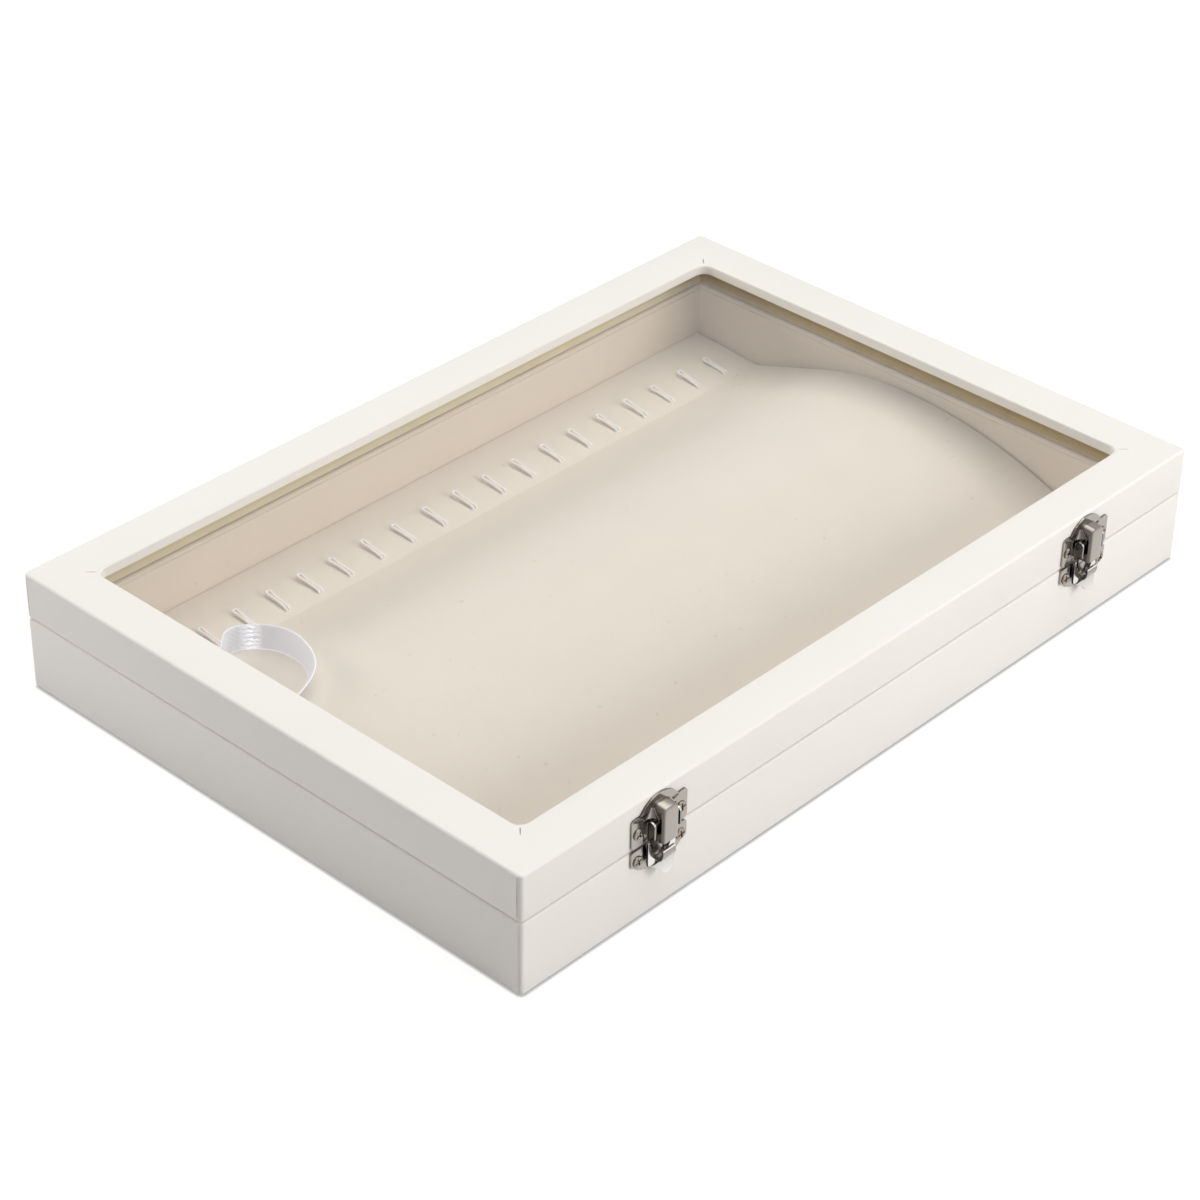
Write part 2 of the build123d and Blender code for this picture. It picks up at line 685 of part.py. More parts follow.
def hinge_pin(centre_x):
    """Plain pin through the three knuckles, with eased ends."""
    pin = Rot(0, 90, 0) * Cylinder(hinge_pin_radius, hinge_length + 2 * hinge_pin_overhang)
    pin = chamfer(pin.edges().filter_by(GeomType.CIRCLE), hinge_pin_ease)
    return Pos(centre_x, hinge_y, hinge_z) * pin


for name, centre in zip(("left", "right"), hinge_centres):
    save(f"hinge_base_leaf_{name}", hinge_leaf(centre, -1))
    save(f"hinge_lid_leaf_{name}", hinge_leaf(centre, 1))
    save(f"hinge_pin_{name}", hinge_pin(centre))
save("hinge_base_screws", [spot * screw() for spot in base_hinge_spots])
save("hinge_lid_screws", [spot * screw() for spot in lid_hinge_spots])
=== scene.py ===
import math
import random

import bmesh
import bpy
import numpy as np
from mathutils import Matrix, Vector


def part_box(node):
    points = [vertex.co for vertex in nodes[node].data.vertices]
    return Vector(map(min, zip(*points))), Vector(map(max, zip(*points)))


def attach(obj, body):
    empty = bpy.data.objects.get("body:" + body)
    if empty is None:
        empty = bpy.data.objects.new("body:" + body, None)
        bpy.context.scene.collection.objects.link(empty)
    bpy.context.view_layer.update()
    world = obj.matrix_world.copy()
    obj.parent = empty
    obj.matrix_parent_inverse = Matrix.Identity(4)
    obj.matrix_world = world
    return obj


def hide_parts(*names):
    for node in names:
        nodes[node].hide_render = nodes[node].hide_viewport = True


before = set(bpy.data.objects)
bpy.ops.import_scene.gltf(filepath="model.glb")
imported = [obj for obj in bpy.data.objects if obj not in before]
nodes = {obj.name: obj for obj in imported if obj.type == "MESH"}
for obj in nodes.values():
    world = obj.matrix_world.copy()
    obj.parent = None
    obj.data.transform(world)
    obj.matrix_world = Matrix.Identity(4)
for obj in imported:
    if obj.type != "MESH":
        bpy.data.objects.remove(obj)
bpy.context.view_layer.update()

# Looks of a glass-topped necklace case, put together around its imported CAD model, in metres
MM = 0.001


# Camera: the photograph's view, fitted to the edges of the box: a long lens a little over a metre
# away, level to within a degree. The frame is square and the lens is not shifted.
camera_data = bpy.data.cameras.new("photo_camera")
camera_data.lens = 98.92
camera_data.sensor_width = 36.0
camera_data.clip_start = 0.05
camera = bpy.data.objects.new("photo_camera", camera_data)
camera_right = Vector((0.68507, -0.72836, 0.01316))
camera_up = Vector((0.40024, 0.39143, 0.82861))
camera_back = Vector((-0.60867, -0.56239, 0.55967))
camera_place = Matrix.Translation((-0.73363, -0.66697, 0.67809))
camera_axes = Matrix((camera_right, camera_up, camera_back)).transposed().to_4x4()
camera.matrix_world = camera_place @ camera_axes
bpy.context.scene.collection.objects.link(camera)
bpy.context.scene.camera = camera
bpy.context.scene.view_settings.view_transform = "Standard"


# Stage: a plain white table under soft studio light. The table and the air are white to the eye,
# to metal and to glass, and the table keeps a faint shadow under the case.
def linear(hex_colour):
    """An sRGB hex colour as the linear colour that the nodes take."""
    shares = [int(hex_colour[i:i + 2], 16) / 255 for i in (1, 3, 5)]
    return [c / 12.92 if c < 0.04045 else ((c + 0.055) / 1.055) ** 2.4 for c in shares] + [1.0]


def feed(tree, node, values):
    """Gives a node's inputs their values, which are numbers, colours or other nodes' outputs."""
    for key, value in values.items():
        if isinstance(value, bpy.types.NodeSocket):
            tree.links.new(value, node.inputs[key])
        else:
            node.inputs[key].default_value = value


def add(tree, kind, values=None, **settings):
    """Adds a node, with the values of its inputs and the settings that are its own fields."""
    made = tree.nodes.new(kind)
    for field, value in settings.items():
        setattr(made, field, value)
    feed(tree, made, values or {})
    return made


def seen_ray(tree):
    """One for camera, glossy and transmission rays, and zero for the light's own."""
    path = add(tree, "ShaderNodeLightPath").outputs
    either = add(tree, "ShaderNodeMath", {0: path["Is Camera Ray"], 1: path["Is Glossy Ray"]},
                 operation="MAXIMUM")
    return add(tree, "ShaderNodeMath", {0: either.outputs[0], 1: path["Is Transmission Ray"]},
               operation="MAXIMUM").outputs[0]


world = bpy.data.worlds.new("studio_air")
bpy.context.scene.world = world
world.use_nodes = True
air = world.node_tree
air.nodes.clear()
soft_light = add(air, "ShaderNodeBackground", {"Color": linear("#F7F6F4"), "Strength": 0.2})
white_air = add(air, "ShaderNodeBackground", {"Color": (1, 1, 1, 1), "Strength": 1.0})
air_mix = add(air, "ShaderNodeMixShader",
              {0: seen_ray(air), 1: soft_light.outputs[0], 2: white_air.outputs[0]})
add(air, "ShaderNodeOutputWorld", {"Surface": air_mix.outputs[0]})

bpy.ops.object.select_all(action="DESELECT")
bpy.ops.mesh.primitive_plane_add(size=6)
table_top = bpy.context.object
table_top.name = "table_top"
table_white = bpy.data.materials.new("white_laminate_table")
table_white.use_nodes = True
laminate = table_white.node_tree
laminate.nodes.clear()
bounce = add(laminate, "ShaderNodeBsdfDiffuse", {"Color": (0.62, 0.61, 0.6, 1)})
# The last few millimetres under the case, where no light reaches the table
contact = add(laminate, "ShaderNodeAmbientOcclusion", {"Distance": 1.3 * MM}, samples=8)
contact_light = add(laminate, "ShaderNodeMapRange", {0: contact.outputs["AO"], 1: 0.4, 3: 0.3,
                                                     4: 0.86})
# Away from the case, where the lamps fall off, the table stays as white as the air behind it
table_place = add(laminate, "ShaderNodeTexCoord").outputs["Object"]
away = add(laminate, "ShaderNodeVectorMath", {0: table_place}, operation="LENGTH")
far_light = add(laminate, "ShaderNodeMapRange", {0: away.outputs["Value"], 1: 0.6, 2: 1.4, 4: 0.15})
table_light = add(laminate, "ShaderNodeMath", {0: contact_light.outputs[0],
                                               1: far_light.outputs[0]}, operation="ADD")
glow = add(laminate, "ShaderNodeEmission", {"Strength": table_light.outputs[0]})
shaded = add(laminate, "ShaderNodeBsdfDiffuse", {"Color": (0.22, 0.22, 0.22, 1)})
shown = add(laminate, "ShaderNodeAddShader", {0: glow.outputs[0], 1: shaded.outputs[0]})
laminate_mix = add(laminate, "ShaderNodeMixShader",
                   {0: seen_ray(laminate), 1: bounce.outputs[0], 2: shown.outputs[0]})
add(laminate, "ShaderNodeOutputMaterial", {"Surface": laminate_mix.outputs[0]})
table_top.data.materials.append(table_white)


def softbox(name, place, size, watts, mirrored=True):
    """A square studio softbox aimed at the case. No light that passes through the pane shows it,
    and the metal and the pane's face mirror it only if mirrored is set."""
    lamp = bpy.data.lights.new(name, "AREA")
    lamp.size = size
    lamp.energy = watts
    lamp.color = (1.0, 0.99, 0.975)
    stand = bpy.data.objects.new(name, lamp)
    stand.location = place
    aim = Vector((0, 0, 0.02)) - Vector(place)
    stand.rotation_euler = aim.to_track_quat("-Z", "Y").to_euler()
    stand.visible_glossy = mirrored
    stand.visible_transmission = False
    bpy.context.scene.collection.objects.link(stand)


softbox("overhead", (0.18, 0.0, 1.5), 1.6, 17.1)
softbox("front_fill", (0.44, -1.28, 0.48), 0.8, 10.7, mirrored=False)
softbox("back_left_fill", (-0.62, 0.88, 0.34), 0.5, 5.0, mirrored=False)


# Lid covering: thin off-white leatherette wrapped over the boards of the lid and turned in at the
# window, so every edge is soft. The wrap is slit at the window's corners and overlaps at the
# outer corners, where it leaves a fine dark gap.
def block(name, low, high):
    """A block between two corners, as the start of a piece."""
    bpy.ops.object.select_all(action="DESELECT")
    bpy.ops.mesh.primitive_cube_add(size=1)
    made = bpy.context.object
    made.name = name
    made.location = (Vector(low) + Vector(high)) / 2
    made.scale = Vector(high) - Vector(low)
    bpy.ops.object.transform_apply(location=True, rotation=True, scale=True)
    return made


def middle(part):
    """The middle of a vertex, an edge or a face."""
    corners = part.verts if hasattr(part, "verts") else [part]
    return sum((v.co for v in corners), Vector()) / len(corners)


def pick(kind, test):
    """Selects, in edit mode, only the vertices, edges or faces that pass the test."""
    mode = {"verts": "VERT", "edges": "EDGE", "faces": "FACE"}[kind]
    bpy.ops.mesh.select_mode(type=mode)
    bpy.ops.mesh.select_all(action="DESELECT")
    mesh = bmesh.from_edit_mesh(bpy.context.object.data)
    for part in getattr(mesh, kind):
        if test(part):
            part.select_set(True)
    mesh.select_flush_mode()
    bmesh.update_edit_mesh(bpy.context.object.data)


def is_near(a, b, reach=0.02 * MM):
    return abs(a - b) < reach


def is_rim(edge, axis, level, facing, reach=0.001 * MM, slack=0.01):
    """True for an edge at a level, between a face that looks along the axis and one beside it."""
    return (is_near(middle(edge)[axis], level, reach) and len(edge.link_faces) == 2
            and abs(sum(f.normal[axis] for f in edge.link_faces) - facing) < slack)


def is_upright(edge):
    a, b = (v.co for v in edge.verts)
    return (a - b).xy.length < 0.1 * abs(a.z - b.z)


def bevel(width, steps):
    bpy.ops.mesh.bevel(offset=width, offset_type="OFFSET", segments=steps, profile=0.5,
                       affect="EDGES", clamp_overlap=True)


def alone(obj):
    """Makes a piece the active one and the only one selected."""
    bpy.ops.object.select_all(action="DESELECT")
    obj.select_set(True)
    bpy.context.view_layer.objects.active = obj


def edit(obj):
    alone(obj)
    bpy.ops.object.mode_set(mode="EDIT")


def end_edit():
    bpy.ops.object.mode_set(mode="OBJECT")


def modify(obj, kind, **settings):
    """Adds one modifier and applies it."""
    bpy.context.view_layer.objects.active = obj
    modifier = obj.modifiers.new(kind.lower(), kind)
    for field, value in settings.items():
        setattr(modifier, field, value)
    bpy.ops.object.modifier_apply(modifier=modifier.name)


def smooth(obj, degrees=35):
    alone(obj)
    bpy.ops.object.shade_smooth_by_angle(angle=math.radians(degrees))


def cut_out(obj, cutter):
    """Cuts one piece out of another and removes the cutter."""
    modify(obj, "BOOLEAN", operation="DIFFERENCE", object=cutter, solver="EXACT")
    bpy.data.objects.remove(cutter)


wrap_thickness = 0.5 * MM
corner_round = 1.7 * MM
seam_gap = 0.23 * MM
lid_low, lid_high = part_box("lid_leatherette")
lid_low.z += seam_gap
frame_width = 17.7 * MM
window_x = lid_high.x - frame_width
window_y = lid_high.y - frame_width
window_corner = 4.5 * MM
glass_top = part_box("glass_pane")[1].z
rim_width = 4.95 * MM
window_round = 1.8 * MM
edge_round = 1.55 * MM
seam_round = 1.1 * MM
slit_offset = 1.25 * MM
slit_half_length, slit_half_width = 2.1 * MM, 0.16 * MM
gap_half_length, gap_half_width = 8.2 * MM, 0.17 * MM
gap_inset, gap_lift = 1.75 * MM, 0.1 * MM
cut_depth = 1.3 * MM
glass_gap = 0.03 * MM

lid_cover = block("lid_cover", lid_low, lid_high)
edit(lid_cover)
pick("faces", lambda f: f.normal.z > 0.9)
bpy.ops.mesh.inset(thickness=frame_width)
turn_in = lid_high.z - glass_top - glass_gap
bpy.ops.mesh.extrude_region_move(TRANSFORM_OT_translate={"value": (0, 0, -turn_in)})
bpy.ops.mesh.delete(type="FACE")
pick("faces", lambda f: f.normal.z < -0.9)
bpy.ops.mesh.inset(thickness=rim_width)
bpy.ops.mesh.delete(type="FACE")
# The outer corners, the window's corners, its top edge, the outer top edge and the seam's edge
pick("edges", lambda e: is_upright(e) and is_near(abs(middle(e).x), lid_high.x))
bevel(corner_round, 6)
pick("edges", lambda e: is_upright(e) and is_near(abs(middle(e).x), window_x))
bevel(window_corner, 8)
pick("edges", lambda e: is_near(middle(e).z, lid_high.z)
     and abs(middle(e).x) < window_x + MM and abs(middle(e).y) < window_y + MM)
bevel(window_round, 6)
pick("edges", lambda e: is_rim(e, 2, lid_high.z, 1))
bevel(edge_round, 6)
pick("edges", lambda e: is_rim(e, 2, lid_low.z, -1))
bevel(seam_round, 4)


def thicken(cover):
    """Ends the edit of a covering's outer face and gives it the wrap's thickness, inwards."""
    bpy.ops.mesh.select_all(action="SELECT")
    bpy.ops.mesh.normals_make_consistent(inside=False)
    end_edit()
    modify(cover, "SOLIDIFY", thickness=wrap_thickness, offset=-1)


def blade(place, long_half, thin_half, deep, turn):
    """A lens-shaped blade that cuts a slit, long along its own X and deep along its Z."""
    bpy.ops.object.select_all(action="DESELECT")
    bpy.ops.mesh.primitive_cylinder_add(vertices=16, radius=1, depth=1)
    made = bpy.context.object
    made.scale = (long_half, thin_half, deep)
    made.rotation_euler = turn
    made.location = place
    bpy.ops.object.transform_apply(location=True, rotation=True, scale=True)
    return made


thicken(lid_cover)
for side_x in (-1, 1):
    for side_y in (-1, 1):
        slit_x = side_x * (window_x + slit_offset)
        slit_y = side_y * (window_y + slit_offset)
        cut_out(lid_cover, blade((slit_x, slit_y, lid_high.z), slit_half_length,
                                 slit_half_width, cut_depth,
                                 (0, 0, math.radians(45 * side_x * side_y))))
        gap_y = side_y * (lid_high.y - gap_inset)
        gap_z = (lid_low.z + lid_high.z) / 2 + gap_lift
        cut_out(lid_cover, blade((side_x * lid_high.x, gap_y, gap_z), gap_half_length,
                                 gap_half_width, cut_depth, (0, math.radians(90), 0)))
smooth(lid_cover)


def material(name):
    """A new material, with its node tree and its shader."""
    made = bpy.data.materials.new(name)
    made.use_nodes = True
    return made, made.node_tree, made.node_tree.nodes["Principled BSDF"]


leatherette, skin, skin_shader = material("pressed_pu_leatherette")
where = add(skin, "ShaderNodeTexCoord").outputs["Object"]
# Pebbles of about 0.7 mm with finer pores, pressed into the coating, and the slow waves of the
# glued board under it, 40 mm from crest to crest
pebbles = add(skin, "ShaderNodeTexVoronoi", {"Vector": where, "Scale": 1400.0, "Smoothness": 0.6},
              feature="SMOOTH_F1")
pores = add(skin, "ShaderNodeTexNoise", {"Vector": where, "Scale": 2600.0, "Detail": 2.0})
waves = add(skin, "ShaderNodeTexNoise", {"Vector": where, "Scale": 25.0, "Detail": 1.0})
grain = add(skin, "ShaderNodeMath", {0: pebbles.outputs[0], 1: pores.outputs[0]}, operation="ADD")
grain_bump = add(skin, "ShaderNodeBump",
                 {"Height": grain.outputs[0], "Strength": 0.35, "Distance": 0.03 * MM})
wave_bump = add(skin, "ShaderNodeBump", {"Height": waves.outputs[0], "Strength": 0.5,
                                         "Distance": 0.35 * MM, "Normal": grain_bump.outputs[0]})
tint = add(skin, "ShaderNodeMix", {0: waves.outputs[0], 6: linear("#F1EEE9"), 7: linear("#F4F1ED")},
           data_type="RGBA")
feed(skin, skin_shader, {"Base Color": tint.outputs[2], "Normal": wave_bump.outputs[0],
                         "Roughness": 0.55, "Specular IOR Level": 0.3})
lid_cover.data.materials.append(leatherette)
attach(lid_cover, "lid")
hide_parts("lid_leatherette")


# Base covering: the same wrap over the four walls of the base, turned in under the liner at the
# rim and under the foot sheet at the bottom. It meets the lid's wrap in a soft V.
base_low, base_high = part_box("base_leatherette")
base_high.z -= seam_gap
foot_round = 0.9 * MM
base_cover = block("base_cover", base_low, base_high)
edit(base_cover)
for out in (1, -1):
    pick("faces", lambda f: f.normal.z * out > 0.9)
    bpy.ops.mesh.inset(thickness=rim_width)
    bpy.ops.mesh.delete(type="FACE")
pick("edges", lambda e: is_upright(e) and is_near(abs(middle(e).x), base_high.x))
bevel(corner_round, 6)
pick("edges", lambda e: is_rim(e, 2, base_high.z, 1))
bevel(seam_round, 4)
pick("edges", lambda e: is_rim(e, 2, base_low.z, -1))
bevel(foot_round, 4)
thicken(base_cover)
smooth(base_cover)
base_cover.data.materials.append(leatherette)
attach(base_cover, "base")
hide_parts("base_leatherette")


# Boards: sawn grey-brown fibreboard under the coverings, glued at the corners. They show only
# through the slits of the wrap.
def fibre_sheet(name, dark, light, scale, detail, relief, roughness):
    """A matt sheet of pressed fibres in two tones, which stand out by the relief."""
    made, pulp, shader = material(name)
    place = add(pulp, "ShaderNodeTexCoord").outputs["Object"]
    fibres = add(pulp, "ShaderNodeTexNoise", {"Vector": place, "Scale": scale, "Detail": detail})
    tone = add(pulp, "ShaderNodeMix", {0: fibres.outputs[0], 6: linear(dark), 7: linear(light)},
               data_type="RGBA")
    nap = add(pulp, "ShaderNodeBump", {"Height": fibres.outputs[0], "Distance": relief})
    feed(pulp, shader, {"Base Color": tone.outputs[2], "Normal": nap.outputs[0],
                        "Roughness": roughness})
    return made


def dress(name, finish):
    """Gives a CAD node its finish."""
    nodes[name].data.materials.clear()
    nodes[name].data.materials.append(finish)


# Short brown fibres of 0.8 mm, with hardly any gloss
fibreboard = fibre_sheet("sawn_fibreboard", "#8A7B66", "#B09D82", 1200.0, 4.0, 0.05 * MM, 0.9)
for name in nodes:
    if name.endswith("_board") or name.endswith("_rail") or name == "pad_card":
        dress(name, fibreboard)


# Foot sheet: thin grey felted paper, cut a little smaller than the case and glued under the base
# over the turned-in edge of the wrap. Its loose fibres are about 1 mm long and have no gloss.
felt_paper = fibre_sheet("felted_paper", "#A49D94", "#C9C3BA", 900.0, 6.0, 0.1 * MM, 1.0)
dress("base_underside", felt_paper)


# Liner: thin boards wrapped in short velvet, standing on the floor against the walls. The velvet
# is pulled over the top edge into a bead, with a pressed line under it.
def velvet(name, dark, light, lint):
    """Short beige velvet: a fine nap, slow patches where it is stroked flat, and specks of lint."""
    made, nap, shader = material(name)
    place = add(nap, "ShaderNodeTexCoord").outputs["Object"]
    # Tufts of 0.45 mm, coarser than the real pile so that they show
    tufts = add(nap, "ShaderNodeTexNoise", {"Vector": place, "Scale": 2200.0, "Detail": 3.0,
                                            "Roughness": 0.7})
    patches = add(nap, "ShaderNodeTexNoise", {"Vector": place, "Scale": 55.0, "Detail": 3.0})
    blend = add(nap, "ShaderNodeMath", {0: patches.outputs[0], 1: 0.45, 2: tufts.outputs[0]},
                operation="MULTIPLY_ADD")
    spread = add(nap, "ShaderNodeMapRange", {0: blend.outputs[0], 1: 0.35, 2: 1.1})
    cloth = add(nap, "ShaderNodeMix", {0: spread.outputs[0], 6: linear(dark), 7: linear(light)},
                data_type="RGBA")
    flecks = add(nap, "ShaderNodeTexNoise", {"Vector": place, "Scale": 420.0, "Detail": 0.0})
    rare = add(nap, "ShaderNodeMapRange", {0: flecks.outputs[0], 1: 0.8, 2: 0.86, 4: 0.22})
    specked = add(nap, "ShaderNodeMix", {0: rare.outputs[0], 6: cloth.outputs[2], 7: linear(lint)},
                  data_type="RGBA")
    pile = add(nap, "ShaderNodeBump", {"Height": tufts.outputs[0], "Strength": 0.5,
                                       "Distance": 0.12 * MM})
    feed(nap, shader, {"Base Color": specked.outputs[2], "Normal": pile.outputs[0],
                       "Roughness": 0.95, "Specular IOR Level": 0.1, "Sheen Weight": 0.25,
                       "Sheen Roughness": 0.6})
    return made


liner_velvet = velvet("woven_liner_velvet", "#E0D0BC", "#E9DBC9", "#B4A690")
bead_rise = 0.5 * MM
bead_drop = 1.6 * MM
bead_line = 0.3 * MM
bead_press = 0.4 * MM
bead_round = 1.1 * MM
wall_round = 0.6 * MM
for side, axis in (("front", 1), ("back", 1), ("left", 0), ("right", 0)):
    low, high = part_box(f"liner_{side}")
    high.z += bead_rise
    liner = block(f"liner_wrap_{side}", low, high)
    inner = low[axis] if abs(low[axis]) < abs(high[axis]) else high[axis]
    inward = -1 if inner > 0 else 1
    edit(liner)
    for bead, width, steps in ((False, wall_round, 3), (True, bead_round, 5)):
        pick("edges", lambda e: is_near(middle(e).z, high.z)
             and is_near(middle(e)[axis], inner) == bead
             and is_near(e.verts[0].co[axis], e.verts[1].co[axis]))
        bevel(width, steps)
    for drop in (bead_drop, bead_drop + bead_line, bead_drop + 2 * bead_line):
        bpy.ops.mesh.select_all(action="SELECT")
        bpy.ops.mesh.bisect(plane_co=(0, 0, high.z - drop), plane_no=(0, 0, 1))
    groove_z = high.z - bead_drop - bead_line
    pick("verts", lambda v: is_near(v.co.z, groove_z) and is_near(v.co[axis], inner))
    push = [0, 0, 0]
    push[axis] = -inward * bead_press
    bpy.ops.transform.translate(value=push)
    end_edit()
    smooth(liner, 50)
    liner.data.materials.append(liner_velvet)
    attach(liner, "base")
    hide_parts(f"liner_{side}")


# Pad: velvet stretched over cut foam on a card, a flat strip along the back and a long hump in
# front of it, rolled over at the edges. The velvet is glued down in the crease.
pad_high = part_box("pad_velvet")[1]
pad_x = pad_high.x / MM
pad_y = pad_high.y / MM
liner_gap = 0.35
pad_columns, pad_rows = 80, 140
strip_width = 32.4
strip_front_z = 5.6
strip_back_z = 7.9
hump_height = 24.5
crown_y = 2.4
hump_back_radius = 133.0
hump_back_slope = math.radians(18.0)
hump_front_radius = 190.0


def pad_line(y):
    """Height of the pad's surface, in mm, at a distance y from the middle of the case."""
    strip_y = pad_y - strip_width
    arc_y = crown_y + hump_back_radius * math.sin(hump_back_slope)
    arc_z = hump_height - hump_back_radius * (1 - math.cos(hump_back_slope))
    front_angle = math.acos(1 - (hump_height - strip_front_z) / hump_front_radius)
    front_y = crown_y - hump_front_radius * math.sin(front_angle)
    if y > strip_y:
        return strip_front_z + (y - strip_y) / strip_width * (strip_back_z - strip_front_z)
    if y > arc_y:
        return arc_z + (y - arc_y) / (strip_y - arc_y) * (strip_front_z - arc_z)
    if y > front_y:
        radius = hump_back_radius if y > crown_y else hump_front_radius
        return hump_height - radius + math.sqrt(radius ** 2 - (y - crown_y) ** 2)
    return strip_back_z + (y + pad_y) / (front_y + pad_y) * (strip_front_z - strip_back_z)


def soft_line(y, reach=0.9):
    """The same, rounded in the crease as the cloth lies there."""
    return sum(pad_line(y + reach * k / 3) for k in range(-3, 4)) / 7


def rolled(distance, radius):
    """How far the cloth has rolled down at a distance from its edge."""
    short = max(0.0, radius - distance)
    return radius - math.sqrt(max(0.0, radius * radius - short * short))


def mesh_piece(name, mesh):
    """A piece made of the faces of a bmesh."""
    data = bpy.data.meshes.new(name)
    mesh.to_mesh(data)
    made = bpy.data.objects.new(name, data)
    bpy.context.scene.collection.objects.link(made)
    return made


def pad_form(name, floor_z, roll, back_roll):
    """A closed form under the pad's surface. Its back edge is rolled less and touches the liner."""
    back_y = pad_y + liner_gap
    edge = [roll * (1 - math.cos(k * math.pi / 12)) for k in range(7)]
    back_edge = [back_roll * (1 - math.cos(k * math.pi / 12)) for k in range(7)]
    xs = [-pad_x + e for e in edge] + list(np.linspace(roll - pad_x, pad_x - roll,
                                                               pad_columns)[1:-1])
    xs = xs + [pad_x - e for e in reversed(edge)]
    inner = list(np.linspace(roll - pad_y, back_y - back_roll, pad_rows)[1:-1])
    # Closer rows in the crease
    crease = pad_y - strip_width
    inner = sorted(set(inner + [crease + d for d in (-1.2, -0.8, -0.4, 0, 0.4, 0.8, 1.2)]))
    ys = [-pad_y + e for e in edge] + inner + [back_y - e for e in reversed(back_edge)]
    mesh = bmesh.new()
    rows = []
    for y in ys:
        row = []
        for x in xs:
            fall = max(rolled(pad_x - abs(x), roll), rolled(pad_y + y, roll),
                       rolled(back_y - y, back_roll))
            z = max(soft_line(min(y, pad_y)) - fall, floor_z + 0.2)
            row.append(mesh.verts.new((x * MM, y * MM, z * MM)))
        rows.append(row)
    for a, b in zip(rows, rows[1:]):
        for i in range(len(xs) - 1):
            mesh.faces.new((a[i], a[i + 1], b[i + 1], b[i]))
    rim = rows[0] + [r[-1] for r in rows[1:]] + rows[-1][-2::-1] + [r[0] for r in rows[-2:0:-1]]
    foot = [mesh.verts.new((v.co.x, v.co.y, floor_z * MM)) for v in rim]
    for i in range(len(rim)):
        j = (i + 1) % len(rim)
        mesh.faces.new((rim[j], rim[i], foot[i], foot[j]))
    mesh.faces.new(foot[::-1])
    bmesh.ops.recalc_face_normals(mesh, faces=mesh.faces)
    return mesh_piece(name, mesh)


pad_cover = pad_form("pad_cover", floor_z=4.25, roll=1.6, back_roll=0.6)
smooth(pad_cover, 60)
pad_velvet = velvet("woven_pad_velvet", "#E2D8CA", "#EBE1D3", "#A39680")
pad_cover.data.materials.append(pad_velvet)
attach(pad_cover, "base")
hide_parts("pad_velvet", "pad_foam")


# Cord loops: a row of hairpins of thin covered elastic, pushed through the pad and glued below.
# Each stands up a little, is open at its tip and closes towards its root.
loop_count = 20
loop_pitch = 15.9
loop_root_y = 83.4
loop_length = 11.9
# The loops lie on the sloping strip, so a little less of their length runs back along it
loop_run = 0.985
cord_radius = 0.56
covered_elastic, braid, braid_shader = material("braided_covered_elastic")
braid_where = add(braid, "ShaderNodeTexCoord").outputs["Object"]
# Plaits 0.4 mm apart, slanting round the cord, and soft white between them
plaits = add(braid, "ShaderNodeTexWave", {"Vector": braid_where, "Scale": 900.0,
                                          "Distortion": 2.0}, wave_type="BANDS",
             bands_direction="DIAGONAL")
braid_colour = add(braid, "ShaderNodeMix", {0: plaits.outputs["Fac"], 6: linear("#F3EDE9"),
                                            7: linear("#FFFAF7")}, data_type="RGBA")
braid_bump = add(braid, "ShaderNodeBump", {"Height": plaits.outputs["Fac"], "Strength": 0.6,
                                           "Distance": 0.08 * MM})
feed(braid, braid_shader, {"Base Color": braid_colour.outputs[2], "Normal": braid_bump.outputs[0],
                           "Roughness": 0.7, "Sheen Weight": 0.5})

# One leg in mm: sideways from the loop's middle, along from its root and up from the velvet
leg_line = [(0.6, 0.0, -0.8), (0.74, 0.0, 0.9), (0.62, 2.0, 0.95), (0.56, 5.0, 1.15),
            (0.62, 8.2, 1.35), (0.94, 10.2, 1.5), (0.98, 11.5, 1.6)]
loop_line = [(-u, s, h) for u, s, h in leg_line] + [(0.0, loop_length, 1.65)]
loop_line += [(u, s, h) for u, s, h in reversed(leg_line)]
random.seed(7)
loops = []
for i in range(loop_count):
    loop_x = (i - (loop_count - 1) / 2) * loop_pitch + random.uniform(-0.25, 0.25)
    lean = random.uniform(-0.5, 0.5)
    lift = random.uniform(0.85, 1.15)
    spread = random.uniform(0.9, 1.1)
    curve = bpy.data.curves.new("loop_line", "CURVE")
    curve.dimensions = "3D"
    spline = curve.splines.new("NURBS")
    spline.points.add(len(loop_line) - 1)
    for point, (u, s, h) in zip(spline.points, loop_line):
        x = loop_x + u * spread + lean * s / loop_length
        y = loop_root_y + s * loop_run
        point.co = (x * MM, y * MM, (pad_line(y) + h * lift) * MM, 1)
    spline.order_u = 3
    spline.use_endpoint_u = True
    curve.resolution_u = 5
    curve.bevel_depth = cord_radius * MM
    curve.bevel_resolution = 3
    curve.use_fill_caps = True
    loops.append(bpy.data.objects.new(f"loop_{i}", curve))
    bpy.context.scene.collection.objects.link(loops[-1])
alone(loops[0])
for loop in loops:
    loop.select_set(True)
bpy.ops.object.convert(target="MESH")
bpy.ops.object.join()
loop_row = bpy.context.object
loop_row.name = "loop_row"
smooth(loop_row, 60)
loop_row.data.materials.clear()
loop_row.data.materials.append(covered_elastic)
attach(loop_row, "base")
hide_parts("loop_cords")


# Ribbon: 10 mm double-faced satin, sewn down under the left end of the pad and standing on its
# edge in a horseshoe, so that the pad can be lifted out by it. It leans out towards the front.
ribbon_width = 10.0
ribbon_thickness = 0.3
ribbon_gap = 0.3
